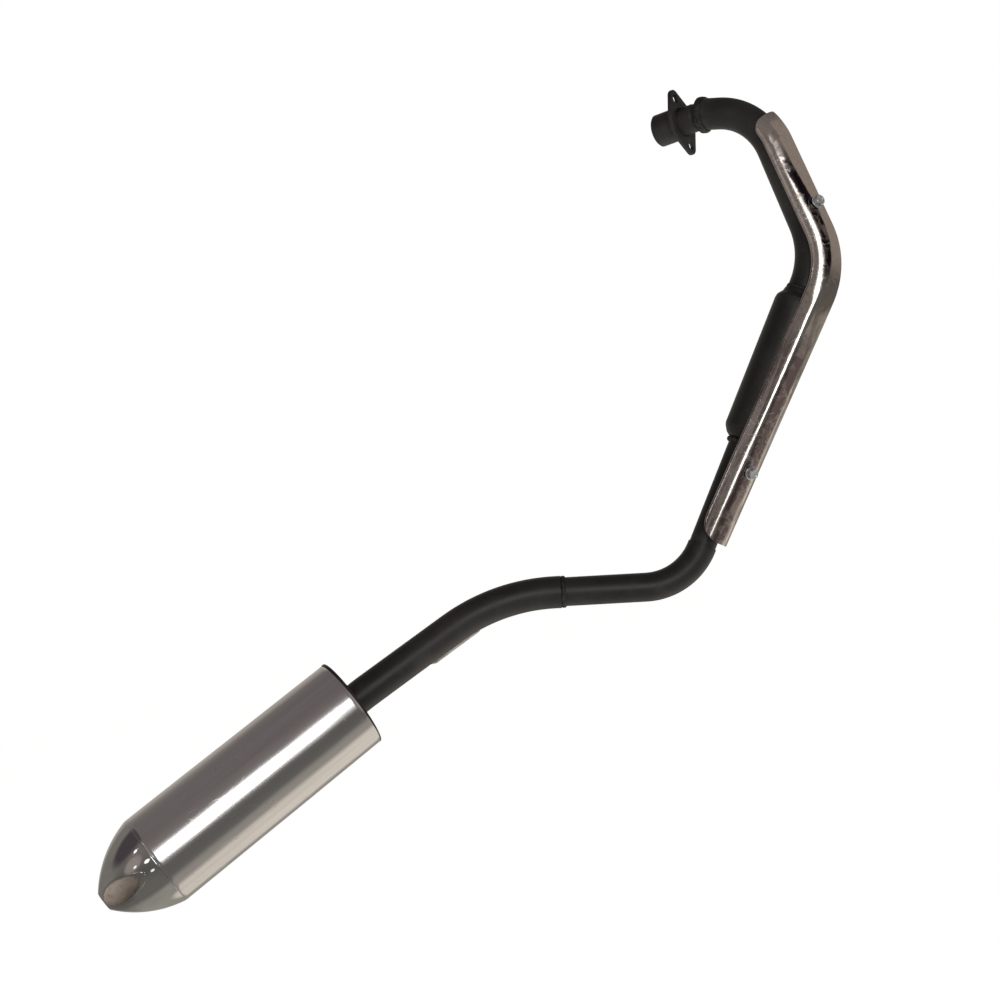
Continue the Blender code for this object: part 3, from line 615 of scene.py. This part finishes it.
for name, start, end, radius, node in (
        ("headerPipe", 0.5 * mm, chamberStart + 20 * mm, run["header"], "header_pipe"),
        ("chamberOutletPipe", chamberStart + 153 * mm, outletEnd, run["outlet"],
         "chamber_outlet_pipe"),
        ("midPipe", outletEnd - 0.6 * mm, tailStart, run["mid"], "mid_pipe"),
        ("tailPipe", tailStart + 0.3 * mm, pathLength(path), run["tail"], "tail_pipe")):
    coat(pipe(name, path, start, end, radius, run["wall"]), satinBlack, "exhaust", "black_steel",
         node)
print("pipes made")

# Spigot and flange

portAxis = Vector((1.0, 0.0, 0.0))
spigot = dict(sides=112, section=[
    (14.6, -24, 0.5), (16.4, -22.3, 0.6), (16.4, 1.7, 0.5), (14.0, 1.7, 0.2), (14.0, 19.5, 0.6),
    (13.0, 21.8, 0.6), (13.0, 24.6, 0.6), (14.0, 26.5, 0.6), (14.0, 29, 0.3), (12.2, 29, 0.3),
    (12.2, -22.5, 0.4), (13.2, -24, 0.3)])
coat(lathe("portSpigot", spigot["section"], Vector(), portAxis, spigot["sides"]), satinBlack,
     "exhaust", "black_steel", "port_spigot")

flange = dict(hub=24.5 * mm, lobe=9.3 * mm, spacing=49.2 * mm, bore=14.4 * mm,
              stud=4.5 * mm, start=2 * mm, thickness=4 * mm, edge=0.7 * mm,
              lean=math.radians(15.6))


def makeFlange():
    spread, lobe, hub = flange["spacing"] / 2, flange["lobe"], flange["hub"]
    touch = math.acos((hub - lobe) / spread)        # where a lobe's arc meets the hub's
    outline = arc((spread, 0.0), lobe, -touch, touch, 28)
    outline += arc((0.0, 0.0), hub, touch, math.pi - touch, 22)
    outline += arc((-spread, 0.0), lobe, math.pi - touch, math.pi + touch, 28)
    outline += arc((0.0, 0.0), hub, math.pi + touch, math.tau - touch, 22)
    holes = [circle((0.0, 0.0), flange["bore"], 96)]
    holes += [circle((side * spread, 0.0), flange["stud"], 40) for side in (1, -1)]
    across = Vector((0.0, -math.sin(flange["lean"]), math.cos(flange["lean"])))
    turn = Matrix((across, portAxis.cross(across), portAxis)).transposed().to_4x4()
    place = turn @ Matrix.Translation((0.0, 0.0, flange["start"] + flange["thickness"] / 2))
    return plate("headFlange", [outline] + holes, flange["thickness"], flange["edge"], place)


coat(makeFlange(), satinBlack, "flange", "black_steel", "head_flange")
print("spigot and flange made")

# Chamber

chamberOrigin = placeAt(path, chamberStart)
chamberAxis = (run["corners"][3] - run["corners"][2]).normalized()
chamber = dict(sides=112, sections=dict(
    UpperEnd=[(17.3, 8, 0.4), (18.3, 12, 1.5), (22.3, 17, 2.2), (23.0, 21, 2.0),
              (23.0, 24.25, 0), (21.5, 24.25, 0), (21.5, 21, 1.0), (15.8, 13, 0.6),
              (15.8, 8, 0.3)],
    Shell=[(23.0, 24.3, 0), (23.0, 60, 0), (23.0, 100, 0), (23.0, 149, 0), (21.5, 149, 0),
           (21.5, 24.3, 0)],
    LowerEnd=[(23.0, 149.05, 0), (23.0, 152, 1.0), (22.0, 155, 1.5), (19.0, 160, 1.8),
              (15.6, 163, 0.4), (13.6, 163, 0.3), (13.6, 158, 0.5), (19.5, 155, 1.0),
              (21.5, 153, 0.5), (21.5, 149.05, 0)]))
for (name, section), node in zip(chamber["sections"].items(),
                                 ("chamber_upper_end", "chamber_shell", "chamber_lower_end")):
    coat(lathe("chamber" + name, section, chamberOrigin, chamberAxis, chamber["sides"]),
         satinBlack, "exhaust", "black_steel", node)
print("chamber made")

# Welds of the pipe and the chamber

beadTree = weldTree(weldBlack)
neckDirection = (portAxis + directionAt(path, 3 * mm)).normalized()
welds = {
    "headerWeld": (inMm(28.5, 0, 0), neckDirection, "header_weld",
                   dict(Ring_Radius=0.0157, Scale_Count=40, Half_Width=0.0042, Height=0.0024,
                        Unevenness=0.28, Seed=4)),
    "chamberUpperWeld": (chamberOrigin + chamberAxis * 6 * mm, chamberAxis, "chamber_upper_weld",
                         dict(Ring_Radius=0.0156, Scale_Count=70, Half_Width=0.0022, Height=0.0011,
                              Unevenness=0.12, Seed=7)),
    "chamberLowerWeld": (chamberOrigin + chamberAxis * 165.8 * mm, chamberAxis,
                         "chamber_lower_weld",
                         dict(Ring_Radius=0.0136, Scale_Count=60, Half_Width=0.0027, Height=0.0026,
                              Unevenness=0.10, Seed=3)),
    "tailJointWeld": (placeAt(path, tailStart - 2 * mm), directionAt(path, tailStart - 2 * mm),
                      "tail_joint_weld",
                      dict(Ring_Radius=0.0145, Scale_Count=70, Half_Width=0.0024, Height=0.0014,
                           Unevenness=0.08, Seed=9)),
}
for name, (origin, axis, node, sizes) in welds.items():
    coat(weldBead(name, beadTree, origin, axis, **sizes), weldBlack, "exhaust", "black_steel",
         node)
print("welds made")

# Heat shield

shield = dict(
    corners=[inMm(30, 0, 0), inMm(84.3, 0.7, -17), inMm(118.7, 8, -178), inMm(-24.7, -83.3, -414)],
    bends=[64 * mm, 75 * mm],
    start=64 * mm, radius=20.9 * mm, wall=0.9 * mm, halfAngle=67.0, hem=1.6 * mm, hemDrop=0.8 * mm,
    upperCorners=(10 * mm, 16 * mm), lowerCorners=(22 * mm, 9 * mm),      # left and right in front
    facing=Vector((0.831, -0.445, -0.333)),
    screws={"Upper": 94 * mm, "Lower": 363 * mm},
    columns=52, spacing=3.2 * mm)

# The sheet is pressed flat along one side, down to flatEnd. Distances down the sheet are in mm,
# and angles round it in degrees. flatStarts gives the angle where the flat starts, by distance.
pressing = dict(
    flatStarts=[(0, -20), (50, -20), (103, -6), (141, -12), (195, -20), (236, 6), (280, 23),
                (305, 50)],
    flatEnd=308, facing=-13, lowerTurn=8, curve=0.12,     # the flat's own facing
    windowLine=-28, windowSpread=16, tightness=2.0)       # the sheet bends faster along this line
shieldPath, _ = bendPath(shield["corners"], shield["bends"])
shieldLength = pathLength(shieldPath) - shield["start"]


def between(low, high, value):  # 0 to 1, smooth
    t = min(1.0, max(0.0, (value - low) / (high - low)))
    return t * t * (3 - 2 * t)


def alongTable(table, value):
    for (a, first), (b, second) in zip(table, table[1:]):
        if value <= b:
            return first + (second - first) * max(0.0, value - a) / (b - a)
    return table[-1][1]


def shieldRows():
    longest = max(shield["upperCorners"] + shield["lowerCorners"])
    ends = [longest * (1 - math.cos(math.pi / 2 * i / 14)) for i in range(14)]
    rows = ends + spaced(longest, shieldLength - longest, shield["spacing"])
    return rows + [shieldLength - e for e in reversed(ends)]


def shieldReach(distance, side):  # angle from the middle to the sheet's edge on this side
    reach = math.radians(shield["halfAngle"])
    for fromEnd, corner in ((distance, shield["upperCorners"][side]),
                            (shieldLength - distance, shield["lowerCorners"][side])):
        if fromEnd < corner:
            inset = corner - math.sqrt(corner ** 2 - (corner - fromEnd) ** 2)
            reach -= inset / shield["radius"]
    return reach


def shieldFrames():
    rows = shieldRows()
    places = [shield["start"] + row for row in rows]
    facings = carriedFacings(shieldPath, places, shield["facing"], atEnd=True)
    return [(row, placeAt(shieldPath, place), facing,
             facing.cross(directionAt(shieldPath, place)).normalized())
            for row, place, facing in zip(rows, places, facings)]


def makeShield(frames):
    columns = shield["columns"]
    edit = bmesh.new()
    loops = []
    for row, centre, facing, right in frames:
        left, reach = shieldReach(row, 0), shieldReach(row, 1)
        outerLine, innerLine = [], []
        for i in range(columns + 1):
            angle = -left + (left + reach) * i / columns
            edgeGap = min(angle + left, reach - angle) * shield["radius"]
            dip = max(0.0, 1 - edgeGap / shield["hem"]) ** 2 * shield["hemDrop"]
            wave = noise.noise(Vector((row * 22, angle * 1.6, 3.0))) * 0.16 * mm
            out = facing * math.cos(angle) + right * math.sin(angle)
            radius = shield["radius"] - dip + wave
            outerLine.append(edit.verts.new(centre + out * radius))
            innerLine.append(edit.verts.new(centre + out * (radius - shield["wall"])))
        loops.append(outerLine + innerLine[::-1])
    joinRings(edit, loops)
    for loop in (loops[0], loops[-1]):
        for i in range(columns):
            edit.faces.new((loop[i], loop[i + 1], loop[-2 - i], loop[-1 - i]))
    return finishMesh(edit, "heatShield", 50.0)


def pressedAngle(distance, angle):  # the direction that the sheet faces there, in degrees
    start = alongTable(pressing["flatStarts"], distance)
    if angle > start and distance < pressing["flatEnd"]:
        lower = pressing["lowerTurn"] * between(180, 200, distance)
        return pressing["facing"] + lower + (angle - start) * pressing["curve"]
    away = angle - pressing["windowLine"]
    tighter = pressing["tightness"] * between(170, 200, distance)
    tighter *= 1 - 0.5 * between(300, 350, distance)
    return angle + tighter * away * math.exp(-(away / pressing["windowSpread"]) ** 2)


def shieldMaps(distance, angle):  # how strong each map is at this spot of the sheet: marks, the painted dark reflection and the painted shade band
    start = alongTable(pressing["flatStarts"], distance)
    wobble = noise.noise(Vector((distance * 0.05, angle * 0.02, 9.0))) * 5
    # painted dark reflection: just before the flat's start on the upper sheet, where the window's
    # highlight would fall
    streak = between(start - 29, start - 20, angle + wobble) * (1 - between(start, start + 2, angle))
    streak *= between(26, 50, distance) * (1 - between(150, 178, distance))
    # painted shade: a darker reflection band right of the highlight on the lower sheet
    shade = between(-27, -22, angle + wobble) * (1 - between(10, 20, angle + wobble))
    shade *= between(215, 245, distance) * (1 - between(480, 500, distance))
    pressed = between(start, start + 3, angle) * (distance < pressing["flatEnd"])
    dented = max(1 - between(34, 60, distance),
                 0.6 * between(150, 170, distance) * (1 - between(270, 310, distance)))
    return {"streak": streak, "shade": shade * 0.9, "pressed": pressed, "dented": dented,
            "brushed": between(190, 240, distance)}


def pressShield(obj, frames):  # sets the facing of the flat side, and the shader's maps
    mesh = obj.data
    strengths = {key: [] for key in shieldMaps(0, 0)}
    normals = [corner.vector.copy() for corner in mesh.corner_normals]
    spots = []
    for vertex in mesh.vertices:
        row, centre, facing, right = min(frames, key=lambda f: (vertex.co - f[1]).length_squared)
        out = vertex.co - centre
        angle = math.degrees(math.atan2(out.dot(right), out.dot(facing)))
        distance = row / mm
        spots.append((distance, angle, facing, right))
        for key, value in shieldMaps(distance, angle).items():
            strengths[key].append(value)
    for key, values in strengths.items():
        mesh.attributes.new(key, "FLOAT", "POINT").data.foreach_set("value", values)
    for polygon in mesh.polygons:
        for loop in polygon.loop_indices:
            distance, angle, facing, right = spots[mesh.loops[loop].vertex_index]
            turn = math.radians(angle)
            out = facing * math.cos(turn) + right * math.sin(turn)
            if polygon.normal.dot(out) < 0.93 or abs(angle) > shield["halfAngle"] - 5:
                continue
            turn = math.radians(pressedAngle(distance, angle))
            moved = facing * math.cos(turn) + right * math.sin(turn)
            normals[loop] = (moved + normals[loop] - out).normalized()
    mesh.normals_split_custom_set(normals)


frames = shieldFrames()
heatShield = makeShield(frames)
shieldRun = shield["corners"][3] - shield["corners"][2]
shieldChrome = makeShieldChrome(tuple(shieldRun.to_track_quat("Z", "Y").to_euler()))


def screwPlace(distance):
    place = shield["start"] + distance
    facing = min(frames, key=lambda f: abs(f[0] - distance))[2]
    direction = directionAt(shieldPath, place)
    return placeAt(shieldPath, place), (facing - direction * facing.dot(direction)).normalized()


for distance in shield["screws"].values():
    heatShield = cut(heatShield, rod("hole", 3.6, 10, 30, *screwPlace(distance), 40))
pressShield(heatShield, frames)
coat(heatShield, shieldChrome, "exhaust", "chrome", "heat_shield")
print("heat shield made")

# Screws and washers, in mm. The washer lies just above the sheet, and the head above the washer.
fastener = dict(top=21.2, washer=6.6, washerHole=3.3, washerThickness=1.4, headGap=0.3,
                flats=10.0, height=4.2, shank=3.0, shankEnd=-9.0, sides=72)


def hexHead(name, origin, axis):
    # hexagon with a chamfered, slightly dished top, and its shank in one body
    half, height = fastener["flats"] / 2, fastener["height"]
    shank, end = fastener["shank"], fastener["shankEnd"]

    def hexRadius(angle):
        return half / math.cos((angle + math.pi / 6) % (math.pi / 3) - math.pi / 6)

    levels = [(steady(0.0), end), (steady(shank - 0.4), end), (steady(shank), end + 0.5),
              (steady(shank), 0.0), (lambda a: hexRadius(a) - 0.25, 0.0), (hexRadius, 0.25),
              (hexRadius, height - 1.0)]
    for share, drop in ((1.045, -0.85), (1.015, -0.35), (0.945, 0.0)):
        levels.append((lambda a, most=half * share: min(hexRadius(a), most), height + drop))
    levels += [(steady(half * 0.72), height), (steady(half * 0.62), height - 0.35),
               (steady(0.0), height - 0.45)]
    edit = bmesh.new()
    joinRings(edit, [turnedRing(edit, origin, axis, fastener["sides"], radiusAt, along)
                     for radiusAt, along in levels])
    return finishMesh(edit, name, 30.0)


for name, distance in shield["screws"].items():
    origin, axis = screwPlace(distance)
    low = fastener["top"]
    high = low + fastener["washerThickness"]
    outside, hole = fastener["washer"], fastener["washerHole"]
    washer = lathe("shieldWasher" + name, [(outside, low, 0.35), (outside, high, 0.45),
                                           (hole, high, 0.2), (hole, low, 0.2)],
                   origin, axis, fastener["sides"])
    coat(washer, zincPlate, "exhaust", "zinc", "shield_washer_" + name.lower())
    screw = hexHead("shieldScrew" + name, origin + axis * (high + fastener["headGap"]) * mm, axis)
    coat(screw, zincPlate, "exhaust", "zinc", "shield_screw_" + name.lower())
print("shield's screws made")

# Silencer

silencer = dict(rim=inMm(-304.9, -327.4, -494.6),
                axis=Vector((-0.5235, -0.7438, -0.4137)).normalized(),
                radius=45.4, wall=1.2, length=226.0, edge=0.35, unevenness=0.10, sides=176)
rim, silencerAxis = silencer["rim"], silencer["axis"]
sleeveTurn = silencerAxis.to_track_quat("Z", "Y").to_euler()
sleeveAluminium = makeSleeveAluminium(tuple(sleeveTurn), tuple(rim))


def makeSleeve():
    length, bevel = silencer["length"], silencer["edge"]
    levels = [(0.0, -bevel), (bevel, 0.0)] + [(d, 0.0) for d in spaced(4.0, length - 4.0, 6.0)]
    levels += [(length - bevel, 0.0), (length, -bevel)]
    edit = bmesh.new()
    rings = []
    for along, edge in levels:
        def dented(angle, along=along, edge=edge):
            spot = Vector((math.cos(angle) * 2.2, math.sin(angle) * 2.2, along / 42))
            return silencer["radius"] + edge + noise.noise(spot) * silencer["unevenness"]

        rings.append(turnedRing(edit, rim, silencerAxis, silencer["sides"], dented, along))
    inside = steady(silencer["radius"] - silencer["wall"])
    for along in (length, 0.0):
        rings.append(turnedRing(edit, rim, silencerAxis, silencer["sides"], inside, along))
    joinRings(edit, rings + [rings[0]])
    return finishMesh(edit, "silencerSleeve", 50.0)


coat(makeSleeve(), sleeveAluminium, "exhaust", "aluminium", "silencer_sleeve")

lip = {"toward": Vector((-0.44, -0.318, 0.843)), "lean": 0.55, "tuck": 0.25 * mm, "from": 45 * mm}


def leanLip(obj):  # the rolled lip stands out further on its upper outboard side
    for vertex in obj.data.vertices:
        along = (vertex.co - rim).dot(silencerAxis)
        out = vertex.co - rim - silencerAxis * along
        share = out.dot(lip["toward"]) / (silencer["radius"] * mm)
        if along < 0:
            vertex.co += silencerAxis * along * share * lip["lean"]
        if out.length > lip["from"]:
            vertex.co -= out.normalized() * (1 - share) * lip["tuck"]


plug = silencer["radius"] - silencer["wall"] - 0.3
cap = lathe("silencerInletCap", [
    (45.7, -2.0, 0.5), (46.0, -1.0, 0.5), (45.6, -0.3, 0.1), (plug, -0.3, 0.1), (plug, 9, 0.1),
    (plug - 1.2, 9, 0.1), (plug - 1.2, 3, 0.6), (19, 3, 0.8), (18, 9, 0.1), (16.2, 9, 0.1),
    (16.2, -2, 0.2), (18, -2, 0.4), (19, 1.8, 0.8), (plug - 1.2, 1.8, 1.2), (plug, -2.0, 0.6)],
    rim, silencerAxis, 144)
leanLip(cap)
coat(cap, satinBlack, "exhaust", "black_steel", "silencer_inlet_cap")
coat(weldBead("inletWeld", beadTree, rim - silencerAxis * 3.9 * mm, silencerAxis,
              Ring_Radius=0.0165, Scale_Count=60, Half_Width=0.0018, Height=0.0014,
              Unevenness=0.15, Seed=12),
     weldBlack, "exhaust", "black_steel", "inlet_weld")
print("silencer's sleeve and cap made")

bullet = dict(length=56.0, tip=9.0, arcRadius=98.0, sheet=1.5, skirt=9.0,
              outletRadius=11.7, outletBore=10.4, middle=(37.3, 24.7), lean=math.radians(11.2),
              facing=Vector((0.787, -0.605, 0.092)), tubeStart=9.0)


def bulletArc(inset, steps=28):  # (radius, distance from the seam) along the bullet's side
    start = Vector((silencer["radius"], 0.0))
    tip = Vector((bullet["tip"], bullet["length"]))
    chord = tip - start
    across = Vector((chord.y, -chord.x)).normalized()
    half = chord.length / 2
    centre = (start + tip) / 2 - across * math.sqrt(bullet["arcRadius"] ** 2 - half ** 2)
    first = math.atan2(start.y - centre.y, start.x - centre.x)
    last = math.atan2(tip.y - centre.y, tip.x - centre.x)
    return arc(centre, bullet["arcRadius"] - inset, first, last, steps)


def makeBullet():
    seam = silencer["length"] + 0.3
    outer = [(r, seam + z, 0) for r, z in bulletArc(0.0)]
    inner = [(min(r, plug - bullet["sheet"]), seam + z, 0) for r, z in bulletArc(bullet["sheet"])]
    tip = seam + bullet["length"]
    profile = [(plug, seam - bullet["skirt"], 0), (plug, seam, 0)] + outer
    profile[-1] = (bullet["tip"], tip, 1.6)
    profile += [(0, tip, 0), (0, tip - bullet["sheet"], 0)] + inner[::-1]
    profile += [(plug - bullet["sheet"], seam - bullet["skirt"], 0)]
    shellMesh = lathe("bulletEnd", profile, rim, silencerAxis, 160)
    side = bullet["facing"] - silencerAxis * bullet["facing"].dot(silencerAxis)
    side.normalize()
    leaving = (silencerAxis * math.cos(bullet["lean"]) - side * math.sin(bullet["lean"])).normalized()
    along, out = bullet["middle"]
    middle = rim + (silencerAxis * (seam + along) + side * out) * mm
    start = bullet["tubeStart"] - along
    shellMesh = cut(shellMesh, rod("bore", bullet["outletRadius"] + 0.3, start - 2, 60, middle,
                                   leaving, 96))
    tube = lathe("outletTube", [
        (bullet["outletRadius"], start, 0.2), (bullet["outletRadius"], 40, 0),
        (bullet["outletBore"], 40, 0), (bullet["outletBore"], start, 0.2)], middle, leaving, 96)
    envelope = [(0, seam - 9, 0), (silencer["radius"], seam - 9, 0)] + outer + [(0, tip, 0)]
    tube = cut(tube, lathe("envelope", envelope, rim, silencerAxis, 160), "INTERSECT")
    return shellMesh, tube


bulletEnd, outletTube = makeBullet()
coat(bulletEnd, bulletChrome, "exhaust", "chrome", "tail_cone")
coat(outletTube, sootyTube, "exhaust", "raw_steel", "outlet_tube")
outletTube.data.materials.append(bulletChrome)
for polygon in outletTube.data.polygons:      # the slash-cut lip is polished flush with the end
    if polygon.normal.dot(bullet["facing"]) > 0.25 and polygon.area < 4e-6:
        polygon.material_index = 0 if polygon.normal.dot(silencerAxis) < -0.2 else 1
print("bullet end and outlet made")

# Hanger plate

hanger = dict(length=54 * mm, width=42 * mm, thickness=2.5 * mm, corner=5 * mm, near=7 * mm,
              hole=4.5 * mm, holeIn=33 * mm, place=4 * mm,
              outboard=Vector((0.585, -0.811, 0.0)))


def makeHanger():
    wideEnd = arcEnds[3]
    middle = placeAt(path, wideEnd + hanger["place"])
    along = (run["corners"][5] - run["corners"][4]).normalized()
    outboard = hanger["outboard"]
    inboard = -(outboard - along * outboard.dot(along)).normalized()
    facing = along.cross(inboard)
    down = facing if facing.z < 0 else -facing
    half, near, corner = hanger["length"] / 2, hanger["near"], hanger["corner"]
    far = near + hanger["width"]
    outline = [(-half, near), (half, near)]
    outline += arc((half - corner, far - corner), corner, 0.0, math.pi / 2, 10)
    outline += arc((-half + corner, far - corner), corner, math.pi / 2, math.pi, 10)
    turn = Matrix((along, inboard, facing)).transposed().to_4x4()
    drop = run["tail"] + 0.3 * mm + hanger["thickness"] / 2
    place = Matrix.Translation(middle + down * drop) @ turn
    return plate("hangerBracket", [outline, circle((0.0, hanger["holeIn"]), hanger["hole"], 48)],
                 hanger["thickness"], 0.4 * mm, place)


coat(makeHanger(), plateSteel, "exhaust", "raw_steel", "hanger_bracket")
print("hanger plate made")

# CAD pieces that keep their shape

for node, material in {"shield_boss_upper": satinBlack, "shield_boss_lower": satinBlack,
                       "hanger_weld": weldBlack, "chamber_core": bareSteel,
                       "chamber_baffle": bareSteel, "silencer_core": bareSteel,
                       "silencer_packing": glassWool, "outlet_baffle": bareSteel}.items():
    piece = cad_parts[node]
    piece.data.materials.clear()
    piece.data.materials.append(material)
print("inner pieces finished")

# Floor, light and camera

floorMesh = bmesh.new()
bmesh.ops.create_grid(floorMesh, x_segments=1, y_segments=1, size=6.0)
floor = finishMesh(floorMesh, "floor")
floor.data.transform(Matrix.Translation((0.0, 0.0, -1.05)))
floorFinish = Finish("paleFloor", (0.9, 0.9, 0.9), 0.9)
floorFinish.set("Emission Color", (1.0, 1.0, 1.0))
floorFinish.set("Emission Strength", 0.85)
floor.data.materials.append(floorFinish.material)
floor.visible_glossy = False


def softbox(name, place, target, width, height, radiance):
    light = bpy.data.lights.new(name, "AREA")
    light.shape = "RECTANGLE"
    light.size = width
    light.size_y = height
    light.energy = radiance * math.pi * width * height
    obj = bpy.data.objects.new(name, light)
    bpy.context.scene.collection.objects.link(obj)
    obj.location = place
    obj.rotation_euler = (Vector(target) - Vector(place)).to_track_quat("-Z", "Y").to_euler()
    obj.visible_camera = False


softbox("windowStrip", (2.10, -2.42, 0.17), (-0.1, -0.2, -0.3), 1.1, 1.25, 2.6)
softbox("windowGlow", (2.25, -2.60, 0.20), (-0.1, -0.2, -0.3), 2.0, 1.95, 0.36)


# The room seen in the polished pieces: its tone by height, then patches and small lamps over it.
# Azimuth is in degrees from -Y towards +X. A patch fades in between its two cosines.
room = dict(
    tones=[(0.00, (0.14, 0.135, 0.125)), (0.20, (0.135, 0.132, 0.122)),
           (0.42, (0.10, 0.098, 0.092)), (0.55, (0.13, 0.122, 0.116)),
           (0.70, (0.175, 0.158, 0.150)), (0.88, (0.150, 0.133, 0.132)),
           (1.00, (0.135, 0.122, 0.125))],
    patches=[(-80, 5, 0.50, 0.85, (0.19, 0.18, 0.165)), (216, 0, 0.55, 0.93, (0.44, 0.41, 0.37)),
             (160, -55, 0.50, 0.68, (0.30, 0.29, 0.26)), (160, -55, 0.84, 0.90, (0.66, 0.62, 0.55)),
             (-41, 36, 0.89, 0.97, (0.065, 0.055, 0.062)), (100, 20, 0.86, 0.97, (0.27, 0.243, 0.222)),
             (-6, 8, 0.965, 0.992, (0.29, 0.255, 0.245))],
    lamps=[(-11, 27, 0.0012, 1.6), (15, 4, 0.0022, 1.9), (-1, 3, 0.0010, 1.2),
           (24, -17, 0.0012, 1.1)])       # azimuth, elevation, size, brightness


def makeRoomLight():
    world = bpy.data.worlds.new("room")
    bpy.context.scene.world = world
    world.use_nodes = True
    tree = ShaderTree(world.node_tree)
    direction = tree.add("ShaderNodeTexCoord", {}, {}, "Generated")
    height = tree.add("ShaderNodeSeparateXYZ", {}, {"Vector": direction}, "Z")

    def toward(azimuth, elevation, low, high):
        a, e = math.radians(azimuth), math.radians(elevation)
        aimed = (math.sin(a) * math.cos(e), -math.cos(a) * math.cos(e), math.sin(e))
        dot = tree.add("ShaderNodeVectorMath", {"operation": "DOT_PRODUCT"},
                       {0: direction, 1: aimed}, "Value")
        return dot.between(low, high)

    shade = tree.ramp(height * 0.5 + 0.5, room["tones"])
    for azimuth, elevation, low, high, color in room["patches"]:
        shade = tree.mix(toward(azimuth, elevation, low, high), shade, color)
    for azimuth, elevation, size, glow in room["lamps"]:
        lamp = toward(azimuth, elevation, 1 - size, 1 - size * 0.4)
        shade = tree.mix(lamp, shade, (glow, glow * 0.97, glow))
    camera = tree.add("ShaderNodeLightPath", {}, {}, "Is Camera Ray")
    shade = tree.mix(camera, shade, (1.0, 1.0, 1.0))
    sky = tree.nodes.new("ShaderNodeBackground")
    tree.connect(shade, sky.inputs["Color"])
    end = tree.nodes.new("ShaderNodeOutputWorld")
    tree.links.new(sky.outputs[0], end.inputs["Surface"])


makeRoomLight()
bpy.context.scene.view_settings.view_transform = "Standard"

view = dict(lens=52.2, sensor=36.0, place=(0.6523, -1.3446, -0.3345),
            right=(0.7924, 0.5719, -0.2122), up=(0.1721, 0.1242, 0.9772), back=(0.5853, -0.8108, 0.0))
camera = bpy.data.objects.new("camera", bpy.data.cameras.new("camera"))
camera.data.lens = view["lens"]
camera.data.sensor_width = view["sensor"]
camera.matrix_world = Matrix.Translation(view["place"]) @ Matrix(
    (view["right"], view["up"], view["back"])).transposed().to_4x4()
bpy.context.scene.collection.objects.link(camera)
bpy.context.scene.camera = camera
print("floor, light and camera set")
